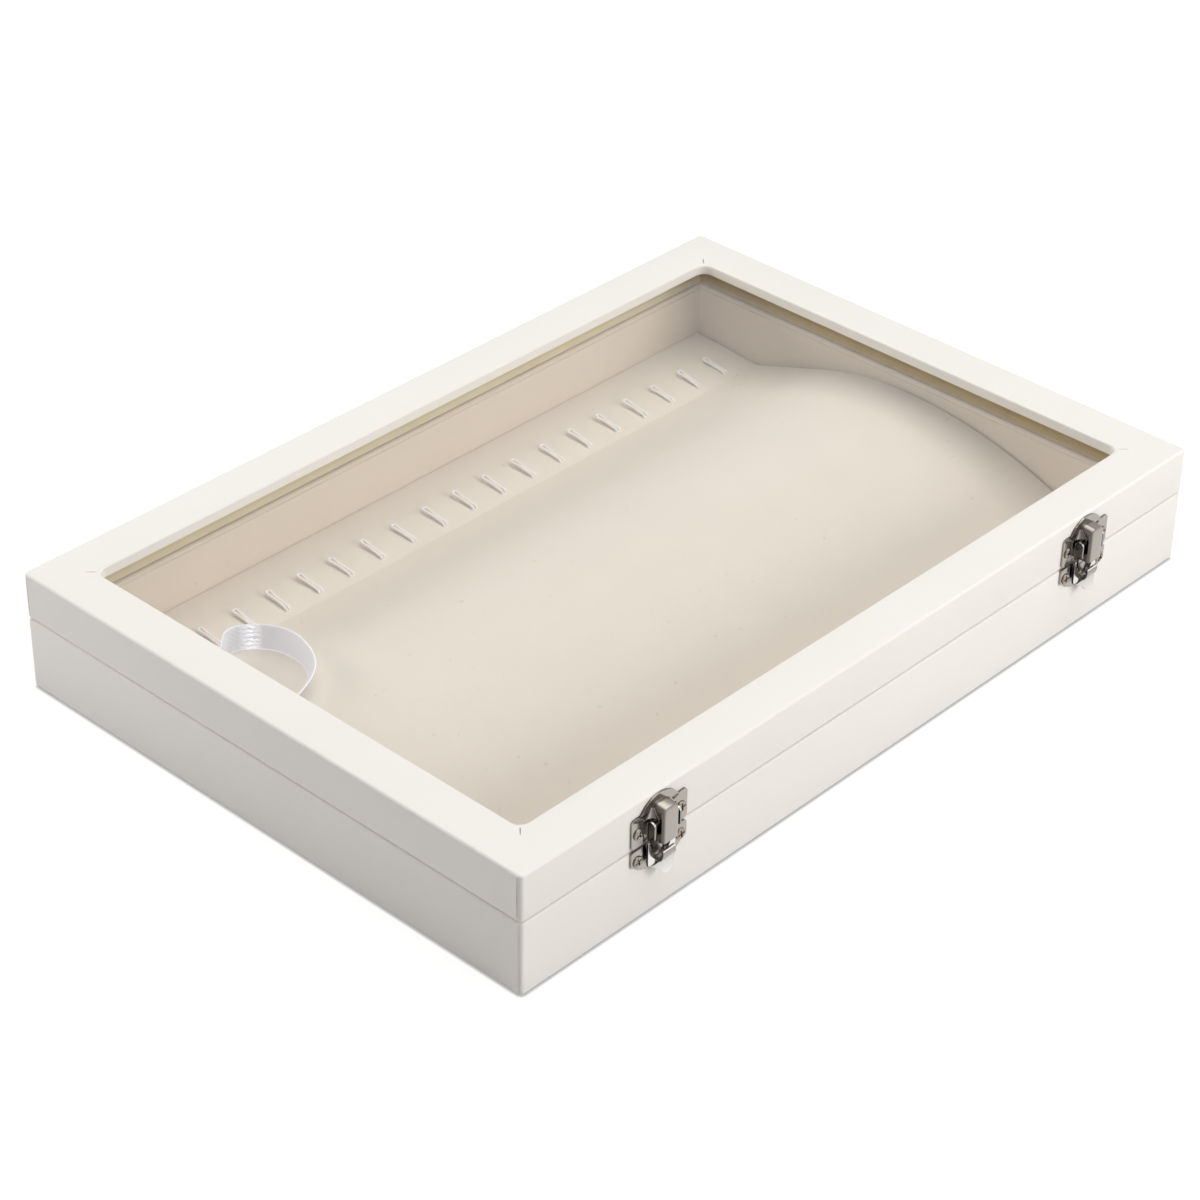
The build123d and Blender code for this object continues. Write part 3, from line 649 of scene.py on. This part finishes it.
# Where the lower edge stands, and how far the upper edge leans over, along x and y
ribbon_stations = [(-166.2, 54.5, 0.0, 3.0), (-153.0, 57.0, 0.0, 2.0), (-142.0, 60.5, 0.0, 1.2),
                   (-134.0, 65.5, -0.2, 0.8), (-127.5, 72.0, -0.2, 0.6), (-122.3, 76.3, 0.0, 0.8),
                   (-118.4, 75.9, 0.4, 1.2), (-116.3, 73.2, 0.6, 1.0), (-114.6, 69.0, 0.9, 0.6),
                   (-113.9, 63.0, 1.2, 0.4), (-114.6, 56.0, 1.6, 0.6), (-116.6, 48.5, 1.9, 1.4),
                   (-119.3, 41.0, 2.0, 1.8), (-122.4, 34.9, 2.2, 1.2), (-126.0, 30.2, 2.7, -0.4),
                   (-130.6, 26.8, 2.8, -3.2), (-136.0, 24.6, 1.4, -5.6), (-146.0, 22.0, 0.8, -6.8),
                   (-156.0, 20.0, 0.4, -7.2), (-166.2, 18.5, 0.0, -7.4)]


def spline_through(points, steps):
    """Points on a smooth line through the given ones."""
    knots = [2 * np.array(points[0]) - np.array(points[1]), *map(np.array, points),
             2 * np.array(points[-1]) - np.array(points[-2])]
    line = []
    for a, b, c, d in zip(knots, knots[1:], knots[2:], knots[3:]):
        for k in range(steps):
            t = k / steps
            line.append(0.5 * (2 * b + (c - a) * t + (2 * a - 5 * b + 4 * c - d) * t ** 2
                               + (3 * b - a - 3 * c + d) * t ** 3))
    return line + [knots[-2]]


ribbon_rows = 8
ribbon_mesh = bmesh.new()
ribbon_uv = ribbon_mesh.loops.layers.uv.new("along_across")
run = 0.0
columns = []
middles = []
for x, y, lean_x, lean_y in spline_through(ribbon_stations, 8):
    rise = math.sqrt(ribbon_width ** 2 - lean_x ** 2 - lean_y ** 2)
    foot = Vector((x, y, pad_line(y) + ribbon_gap))
    lean = Vector((lean_x, lean_y, rise)) / ribbon_width
    middles.append(foot + lean * ribbon_width / 2)
    if len(middles) > 1:
        run += (middles[-1] - middles[-2]).length
    column = []
    for k in range(ribbon_rows + 1):
        across = ribbon_width * k / ribbon_rows
        column.append((ribbon_mesh.verts.new((foot + lean * across) * MM), run, across))
    columns.append(column)
for a, b in zip(columns, columns[1:]):
    for k in range(ribbon_rows):
        corners = (a[k], b[k], b[k + 1], a[k + 1])
        face = ribbon_mesh.faces.new([c[0] for c in corners])
        for loop, corner in zip(face.loops, corners):
            loop[ribbon_uv].uv = (corner[1] * MM, corner[2] * MM)
ribbon_loop = mesh_piece("ribbon_loop", ribbon_mesh)
modify(ribbon_loop, "SOLIDIFY", thickness=ribbon_thickness * MM, offset=0)
smooth(ribbon_loop, 60)
# Where along the ribbon the painted highlight lies
painted_flash_start, painted_flash_middle, painted_flash_end = 55.5 * MM, 61.0 * MM, 66.5 * MM

satin, weave, satin_shader = material("woven_polyester_satin")
along = add(weave, "ShaderNodeUVMap", uv_map="along_across").outputs[0]
# Floats in slanting bands 1.4 mm apart, coarser than the real threads so that they show
slant = add(weave, "ShaderNodeTexWave", {"Vector": along, "Scale": 320.0, "Distortion": 0.6,
                                         "Detail": 1.0}, bands_direction="DIAGONAL")
# A painted highlight: where the ribbon turns into the light, a band of short zigzag strokes is
# painted white into the satin's colour
painted_flash_zigzag = add(weave, "ShaderNodeTexWave", {"Vector": along, "Scale": 190.0, "Distortion": 6.0,
                                           "Detail": 2.0, "Detail Scale": 2.0},
              bands_direction="Y")
apart = add(weave, "ShaderNodeSeparateXYZ", {0: along}).outputs
before = add(weave, "ShaderNodeMapRange", {0: apart[0], 1: painted_flash_start, 2: painted_flash_middle})
after = add(weave, "ShaderNodeMapRange", {0: apart[0], 1: painted_flash_middle, 2: painted_flash_end, 3: 1.0,
                                          4: 0.0})
painted_flash = add(weave, "ShaderNodeMath", {0: before.outputs[0], 1: after.outputs[0]},
            operation="MULTIPLY")
painted_flash_strokes = add(weave, "ShaderNodeMath", {0: painted_flash.outputs[0], 1: painted_flash_zigzag.outputs["Fac"]},
                    operation="MULTIPLY")
satin_ground = add(weave, "ShaderNodeMix", {0: slant.outputs["Fac"], 6: linear("#ECEDF1"),
                                            7: linear("#F5F6FA")}, data_type="RGBA")
satin_colour_with_painted_flash = add(weave, "ShaderNodeMix", {0: painted_flash_strokes.outputs[0], 6: satin_ground.outputs[2],
                                            7: linear("#FFFFFF")}, data_type="RGBA")
satin_bump = add(weave, "ShaderNodeBump", {"Height": slant.outputs["Fac"], "Strength": 0.15,
                                           "Distance": 0.05 * MM})
# A painted glow: the satin gives off a faint cold white light all over, stronger as painted glints
# along the selvedges and in the painted highlight band.
from_foot = add(weave, "ShaderNodeMath", {0: apart[1], 1: ribbon_width * MM / 2},
                operation="SUBTRACT")
from_middle = add(weave, "ShaderNodeMath", {0: from_foot.outputs[0]}, operation="ABSOLUTE")
painted_selvedge_glint = add(weave, "ShaderNodeMapRange", {0: from_middle.outputs[0], 1: 4.4 * MM, 2: 4.7 * MM,
                                             4: 0.4})
painted_glints = add(weave, "ShaderNodeMath", {0: painted_flash_strokes.outputs[0],
                                               1: painted_selvedge_glint.outputs[0]}, operation="MAXIMUM")
painted_glow = add(weave, "ShaderNodeMapRange", {0: painted_glints.outputs[0], 3: 0.07, 4: 0.62})
feed(weave, satin_shader, {"Base Color": satin_colour_with_painted_flash.outputs[2], "Normal": satin_bump.outputs[0],
                           "Roughness": 0.4, "Sheen Weight": 0.6,
                           "Emission Color": linear("#EEF4FF"),
                           "Emission Strength": painted_glow.outputs[0]})
satin_through = add(weave, "ShaderNodeBsdfTranslucent", {"Color": linear("#FAFAFF")})
satin_mix = add(weave, "ShaderNodeMixShader", {0: 0.18, 1: satin_shader.outputs[0],
                                               2: satin_through.outputs[0]})
feed(weave, weave.nodes["Material Output"], {"Surface": satin_mix.outputs[0]})
ribbon_loop.data.materials.append(satin)
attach(ribbon_loop, "base")
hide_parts("ribbon_pull")


# Glass: a 2 mm float pane held under the window by card strips. Light goes straight through it to
# what lies below.
float_glass, pane, pane_shader = material("clear_float_glass")
feed(pane, pane_shader, {"Base Color": (1, 1, 1, 1), "Roughness": 0.0, "IOR": 1.52,
                         "Transmission Weight": 1.0})
pane_path = add(pane, "ShaderNodeLightPath").outputs
passes = add(pane, "ShaderNodeMath", {0: pane_path["Is Shadow Ray"],
                                      1: pane_path["Is Diffuse Ray"]}, operation="MAXIMUM")
straight = add(pane, "ShaderNodeBsdfTransparent", {"Color": (0.99, 0.993, 0.99, 1)})
pane_mix = add(pane, "ShaderNodeMixShader", {0: passes.outputs[0], 1: pane_shader.outputs[0],
                                             2: straight.outputs[0]})
feed(pane, pane.nodes["Material Output"], {"Surface": pane_mix.outputs[0]})
dress("glass_pane", float_glass)


# Card strips: bare olive card under the pane, cut with a knife. The long strips at the front and
# back get a paler copy of the same card, painted lit, since more light falls on them than on the
# end strips.
def cut_card(name, dark, light):
    """Bare pressed card, with the slow mottling of its pulp."""
    made, card, shader = material(name)
    place = add(card, "ShaderNodeTexCoord").outputs["Object"]
    mottle = add(card, "ShaderNodeTexNoise", {"Vector": place, "Scale": 60.0, "Detail": 8.0})
    tone = add(card, "ShaderNodeMix", {0: mottle.outputs[0], 6: linear(dark), 7: linear(light)},
               data_type="RGBA")
    feed(card, shader, {"Base Color": tone.outputs[2], "Roughness": 0.8})
    return made


olive_card = cut_card("cut_olive_card", "#9E8857", "#BBA777")
painted_lit_card = cut_card("cut_olive_card_painted_lit", "#D3C8A8", "#E3DABF")
for side, card_sheet in (("front", painted_lit_card), ("back", painted_lit_card), ("left", olive_card),
                         ("right", olive_card)):
    dress(f"glass_strip_{side}", card_sheet)


# Latches and hinges: pressed nickel-plated steel, bright but a little warm. Painted shade darkens
# the plating in the creases and on the faces that turn sideways or up.
latch_x = 113 * MM
ear_back = -121.15 * MM
ear_front = -124.45 * MM


def between(tree, value, low, high, fade=0.3 * MM):
    """One where the value lies between two limits, and zero outside, with soft ends."""
    above = add(tree, "ShaderNodeMapRange", {0: value, 1: low, 2: low + fade})
    below = add(tree, "ShaderNodeMapRange", {0: value, 1: high - fade, 2: high, 3: 1.0, 4: 0.0})
    return add(tree, "ShaderNodeMath", {0: above.outputs[0], 1: below.outputs[0]},
               operation="MULTIPLY").outputs[0]


def nickel_plate(name, unshaded_colour, painted_shade_colour, flank=0.28, top=0.6, hasp=False, rim=False):
    """Nickel plating in its own tone, with painted shade in a dark tone, hazed by fine scuffs.
    Flank and top say how much of the unshaded tone the faces that turn sideways or up keep."""
    made, plating, shader = material(name)
    place = add(plating, "ShaderNodeTexCoord").outputs["Object"]
    # Painted shade in the creases, from occlusion within 2 mm
    shelter = add(plating, "ShaderNodeAmbientOcclusion", {"Distance": 2.0 * MM}, samples=16)
    crease_lit_share = add(plating, "ShaderNodeMapRange", {0: shelter.outputs["AO"], 1: 0.12, 2: 0.65})
    # Painted shade on the faces that turn sideways or up
    facing = add(plating, "ShaderNodeSeparateXYZ",
                 {0: add(plating, "ShaderNodeNewGeometry").outputs["Normal"]}).outputs
    sideways = add(plating, "ShaderNodeMath", {0: facing[0]}, operation="ABSOLUTE")
    flank_lit_share = add(plating, "ShaderNodeMapRange", {0: sideways.outputs[0], 1: 0.25, 2: 0.75,
                                                      3: 1.0, 4: flank})
    top_lit_share = add(plating, "ShaderNodeMapRange", {0: facing[2], 1: 0.5, 2: 0.85, 3: 1.0, 4: top})
    facing_lit_share = add(plating, "ShaderNodeMath", {0: flank_lit_share.outputs[0], 1: top_lit_share.outputs[0]},
                 operation="MULTIPLY")
    lit_share = add(plating, "ShaderNodeMath", {0: crease_lit_share.outputs[0], 1: facing_lit_share.outputs[0]},
                operation="MULTIPLY").outputs[0]
    at = add(plating, "ShaderNodeSeparateXYZ", {0: place}).outputs
    if rim:
        # Painted light: the outer edges of the plates keep most of the face's unshaded tone instead
        # of the flanks' painted shade
        from_middle = add(plating, "ShaderNodeMath", {0: at[0]}, operation="ABSOLUTE")
        beyond = add(plating, "ShaderNodeMath", {0: from_middle.outputs[0], 1: latch_x},
                     operation="SUBTRACT")
        from_latch = add(plating, "ShaderNodeMath", {0: beyond.outputs[0]}, operation="ABSOLUTE")
        painted_lit_rim = add(plating, "ShaderNodeMapRange", {0: from_latch.outputs[0], 1: 12.2 * MM,
                                                           2: 12.5 * MM, 4: 0.75})
        lit_share = add(plating, "ShaderNodeMath", {0: lit_share, 1: painted_lit_rim.outputs[0]},
                    operation="MAXIMUM").outputs[0]
    if hasp:
        # Painted shade on the scoop's face and on the front edges of the ears, and a painted
        # highlight along the back edges of the ears, next to the plate.
        on_ear = between(plating, at[2], 28.5 * MM, 45 * MM)
        on_scoop = between(plating, at[2], 21.4 * MM, 27.1 * MM)
        for in_height, back_y in ((on_scoop, -122.3 * MM), (on_ear, ear_front + 0.25 * MM)):
            painted_shade_spot = add(plating, "ShaderNodeMath", {0: in_height, 1: between(
                plating, at[1], -127 * MM, back_y, 0.2 * MM)}, operation="MULTIPLY")
            painted_shade_factor = add(plating, "ShaderNodeMapRange", {0: painted_shade_spot.outputs[0], 3: 1.0, 4: 0.4})
            lit_share = add(plating, "ShaderNodeMath", {0: lit_share, 1: painted_shade_factor.outputs[0]},
                        operation="MULTIPLY").outputs[0]
        painted_highlight_edge = add(plating, "ShaderNodeMath", {0: on_ear, 1: between(
            plating, at[1], ear_back - 0.6 * MM, -119 * MM, 0.2 * MM)}, operation="MULTIPLY")
        lit_share = add(plating, "ShaderNodeMath", {0: lit_share, 1: painted_highlight_edge.outputs[0]},
                    operation="MAXIMUM").outputs[0]
    # The tone runs from the painted shade colour to the plating's own colour
    tone = add(plating, "ShaderNodeMix", {0: lit_share, 6: linear(painted_shade_colour), 7: linear(unshaded_colour)},
               data_type="RGBA")
    scuffs = add(plating, "ShaderNodeTexNoise", {"Vector": place, "Scale": 900.0, "Detail": 3.0})
    scuff_rough = add(plating, "ShaderNodeMapRange", {0: scuffs.outputs[0], 3: 0.12, 4: 0.24})
    soft_edges = add(plating, "ShaderNodeBevel", {"Radius": 0.2 * MM}, samples=6)
    feed(plating, shader, {"Base Color": tone.outputs[2], "Roughness": scuff_rough.outputs[0],
                           "Normal": soft_edges.outputs[0], "Metallic": 1.0})
    return made


# Each nickel's second, dark colour is its painted shade. The hasp's nickel is a lighter copy of the
# plates' nickel, painted lit.
nickel = nickel_plate("nickel_plated_pressed_steel", "#ADA7A0", "#2A241F", rim=True)
painted_lit_nickel = nickel_plate("nickel_plated_steel_painted_lit", "#E6E3DF", "#2A241F", flank=0.12,
                             top=0.8, hasp=True)
screw_nickel = nickel_plate("nickel_plated_screw", "#A0978A", "#1C1815", flank=0.5, top=0.9)
for name in nodes:
    if name.startswith("latch_hasp"):
        dress(name, painted_lit_nickel)
    elif name.startswith("latch_") or name.startswith("hinge_"):
        dress(name, nickel)


# Latch plates on the lid: pressed steel with a rolled rim. The nose that guards the hasp's pivot is
# drawn out of the same sheet, open below, and spreads into the plate in a hollow flare.
def upright_on_face(edge):
    """True for an edge that runs along Y, straight out of the case's front."""
    a, b = (v.co for v in edge.verts)
    return abs(a.y - b.y) > 10 * (abs(a.x - b.x) + abs(a.z - b.z))


def weld(obj, other):
    """Joins one piece to another as one solid and removes the second."""
    modify(obj, "BOOLEAN", operation="UNION", object=other, solver="EXACT")
    bpy.data.objects.remove(other)


def tube(name, start, end, start_radius, end_radius, sides=64):
    """A round bar or cone between two points."""
    line = Vector(end) - Vector(start)
    bpy.ops.object.select_all(action="DESELECT")
    bpy.ops.mesh.primitive_cone_add(vertices=sides, radius1=start_radius, radius2=end_radius,
                                    depth=line.length)
    made = bpy.context.object
    made.name = name
    made.rotation_euler = line.to_track_quat("Z", "Y").to_euler()
    made.location = (Vector(start) + Vector(end)) / 2
    bpy.ops.object.transform_apply(location=True, rotation=True, scale=True)
    return made


plate_back = -120.0 * MM
plate_face = -120.8 * MM
plate_half = 13 * MM
plate_round = 1.4 * MM
plate_edge = 0.25 * MM
metal = 0.8 * MM
channel_end = 7.7 * MM
channel_depth = 0.55 * MM


def pressed_plate(name, low_z, high_z, dome_z, dome_radius, dome_sides, cut_z, above):
    """A plate with rounded corners and, above or below a cut, the dome that a disc adds to it."""
    made = block(name, (-plate_half, plate_face, low_z), (plate_half, plate_back, high_z))
    edit(made)
    pick("edges", upright_on_face)
    bevel(plate_round, 6)
    end_edit()
    dome = tube("dome", (0, plate_face, dome_z), (0, plate_back, dome_z), dome_radius,
                dome_radius, dome_sides)
    edit(dome)
    bpy.ops.mesh.select_all(action="SELECT")
    bpy.ops.mesh.bisect(plane_co=(0, 0, cut_z), plane_no=(0, 0, 1), use_fill=True,
                        clear_inner=above, clear_outer=not above)
    end_edit()
    weld(made, dome)
    return made


def press_channels(plate, inner_x, low_z, high_z):
    """Presses a shallow channel into a plate on each side of its middle."""
    for side in (-1, 1):
        ends = sorted((side * inner_x, side * channel_end))
        cut_out(plate, block("channel", (ends[0], plate_face - MM, low_z),
                             (ends[1], plate_face + channel_depth, high_z)))


def pair_of(form, name):
    """A copy of a latch piece at each of the two latches, with its side. The form is removed."""
    pair = []
    for side, place_x in (("left", -latch_x), ("right", latch_x)):
        piece = bpy.data.objects.new(f"{name}_{side}", form.data.copy())
        piece.data.transform(Matrix.Translation((place_x, 0, 0)))
        bpy.context.scene.collection.objects.link(piece)
        pair.append((side, piece))
    bpy.data.objects.remove(form)
    return pair


lid_plate_top = 42.4 * MM
lid_plate = pressed_plate("latch_lid_plate", low_z=30.8 * MM, high_z=lid_plate_top,
                          dome_z=36.9 * MM, dome_radius=10.3 * MM, dome_sides=128,
                          cut_z=41 * MM, above=True)
crook_round = 1.2 * MM
edit(lid_plate)
# The hollow corners where the plate runs into its dome, then the rim of the face
pick("edges", lambda e: upright_on_face(e) and abs(middle(e).z - lid_plate_top) < 0.05 * MM
     and 8 * MM < abs(middle(e).x) < 9.4 * MM)
bevel(crook_round, 5)
pick("edges", lambda e: is_rim(e, 1, plate_face, -1, 0.02 * MM, 0.02))
bevel(plate_edge, 3)
end_edit()

nose_half = 3.75 * MM
nose_face = -126.0 * MM
nose_back = plate_back - 0.4 * MM
nose_low = 31.0 * MM
nose_top = 44.3 * MM
nose_rise = 0.5 * MM
shoulder_round = 2.5 * MM
brow_round = 1.3 * MM
nose = block("nose", (-nose_half, nose_face, nose_low), (nose_half, nose_back, nose_top))
edit(nose)
pick("verts", lambda v: v.co.z > nose_top - 0.1 * MM and v.co.y > plate_face)
bpy.ops.transform.translate(value=(0, 0, nose_rise))
pick("edges", lambda e: abs(middle(e).x) > nose_half - 0.1 * MM
     and middle(e).z > nose_top - 0.1 * MM)
bevel(shoulder_round, 8)
pick("edges", lambda e: is_near(middle(e).y, nose_face) and middle(e).z > nose_low + 0.1 * MM)
bevel(brow_round, 6)
end_edit()
flare_low, flare_high = 40.1 * MM, 43.3 * MM
flare_low_radius, flare_high_radius = 3.3 * MM, 0.7 * MM
flare_root = 0.3 * MM
shrink = flare_low_radius - flare_high_radius
for side in (-1, 1):
    wall_x = side * nose_half
    inner_x = wall_x - side * flare_root
    outer_x = wall_x + side * flare_low_radius
    outer_y = plate_face - flare_low_radius
    flare = block("flare", (min(inner_x, outer_x), outer_y, flare_low),
                  (max(inner_x, outer_x), nose_back, flare_high))
    edit(flare)
    pick("verts", lambda v: v.co.z > flare_high - 0.1 * MM and is_near(v.co.x, outer_x))
    bpy.ops.transform.translate(value=(-side * shrink, 0, 0))
    pick("verts", lambda v: v.co.z > flare_high - 0.1 * MM and is_near(v.co.y, outer_y))
    bpy.ops.transform.translate(value=(0, shrink, 0))
    end_edit()
    # A cone hollows the flare, from a little below it to a little above
    ends = []
    for t in (-0.25, 1.2):
        radius = flare_low_radius - t * shrink
        ends.append(((wall_x + side * radius, plate_face - radius,
                      flare_low + t * (flare_high - flare_low)), radius))
    cut_out(flare, tube("hollow", ends[0][0], ends[1][0], ends[0][1], ends[1][1]))
    weld(nose, flare)
weld(lid_plate, nose)
cut_out(lid_plate, block("inside", (metal - nose_half, nose_face + metal, nose_low - MM),
                         (nose_half - metal, plate_back + MM, nose_top - 2 * metal)))
press_channels(lid_plate, inner_x=3.7 * MM, low_z=30 * MM, high_z=39.6 * MM)
pin_reach, pin_y, pin_z = 6.42 * MM, -122.8 * MM, 38.1 * MM
pin_line = [(-pin_reach, pin_y, pin_z), (pin_reach, pin_y, pin_z)]
bore_radius = 0.8 * MM
cut_out(lid_plate, tube("bore", *pin_line, bore_radius, bore_radius, 32))
smooth(lid_plate, 40)
lid_plate.data.materials.append(nickel)
for side, plate in pair_of(lid_plate, "latch_lid_plate_pressed"):
    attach(plate, "lid")
    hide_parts(f"latch_lid_plate_{side}")


# Latch plates on the base: the same pressed steel, a square plate with a shallow dome below and a
# pressed channel that the hasp lies in, with a low ridge that it snaps over.
base_plate = pressed_plate("latch_base_plate", low_z=23.2 * MM, high_z=29.7 * MM,
                           dome_z=33.4 * MM, dome_radius=15 * MM, dome_sides=160,
                           cut_z=24.6 * MM, above=False)
press_channels(base_plate, inner_x=2.6 * MM, low_z=17 * MM, high_z=31 * MM)
catch_half, catch_rise = 2.4 * MM, 0.2 * MM
catch_low, catch_high = 26.9 * MM, 27.9 * MM
catch = block("catch", (-catch_half, plate_face - catch_rise, catch_low),
              (catch_half, plate_face + 0.1 * MM, catch_high))
weld(base_plate, catch)
edit(base_plate)
pick("edges", lambda e: abs(middle(e).x) > channel_end - 0.1 * MM
     and is_rim(e, 1, plate_face, -1, 0.02 * MM, 0.02))
bevel(plate_edge, 3)
end_edit()
smooth(base_plate, 40)
base_plate.data.materials.append(nickel)
for side, plate in pair_of(base_plate, "latch_base_plate_pressed"):
    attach(plate, "base")
    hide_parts(f"latch_base_plate_{side}")


# Hasp pins: plain nickel-plated steel pins through the nose and the hasp's ears, with their ends
# peened flush with the ears
pin_radius = 0.75 * MM
hasp_pin = tube("hasp_pin", *pin_line, pin_radius, pin_radius, 32)
smooth(hasp_pin, 40)
hasp_pin.data.materials.append(nickel)
for side, pin in pair_of(hasp_pin, "hasp_pin"):
    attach(pin, "lid")
    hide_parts(f"latch_pin_{side}")


# Screws: small flat-domed wood screws with a cross slot, nickel plated like the latches, one size
# throughout, driven until the head sits on the plate.
head_radius = 2.1 * MM
head_height = 0.6 * MM
head_seat = -0.02 * MM
head_round = 0.4 * MM
slot_floor = 0.15 * MM
slot_half_run, slot_half_gap = 1.5 * MM, 0.32 * MM
hinge_x = 110 * MM
latch_step, hinge_step = 10.1 * MM, 10 * MM
screw_form = tube("screw_form", (0, 0, head_seat), (0, 0, head_height), head_radius, head_radius,
                  40)
edit(screw_form)
pick("edges", lambda e: all(is_near(v.co.z, head_height) for v in e.verts))
bevel(head_round, 4)
end_edit()
for half_x, half_y in ((slot_half_run, slot_half_gap), (slot_half_gap, slot_half_run)):
    cut_out(screw_form, block("slot", (-half_x, -half_y, slot_floor), (half_x, half_y, MM)))
smooth(screw_form, 40)
screw_form.data.materials.append(screw_nickel)
screw_turns = random.Random(3)
for node, body, fitting_x, step in (
        ("latch_lid_screws", "lid", latch_x, latch_step),
        ("latch_base_screws", "base", latch_x, latch_step),
        ("hinge_lid_screws", "lid", hinge_x, hinge_step),
        ("hinge_base_screws", "base", hinge_x, hinge_step)):
    low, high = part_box(node)
    out = -1 if low.y < 0 else 1
    made = []
    for x in (-fitting_x - step, -fitting_x + step, fitting_x - step, fitting_x + step):
        head = bpy.data.objects.new("screw", screw_form.data.copy())
        bpy.context.scene.collection.objects.link(head)
        place = Matrix.Translation((x, -out * plate_face, (low.z + high.z) / 2))
        face_out = Matrix.Rotation(math.radians(-90 * out), 4, "X")
        drive = Matrix.Rotation(screw_turns.uniform(0, math.pi), 4, "Z")
        head.data.transform(place @ face_out @ drive)
        made.append(head)
    alone(made[0])
    for head in made:
        head.select_set(True)
    bpy.ops.object.join()
    heads = bpy.context.object
    heads.name = node.replace("_screws", "_screw_heads")
    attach(heads, body)
    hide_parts(node)
bpy.data.objects.remove(screw_form)
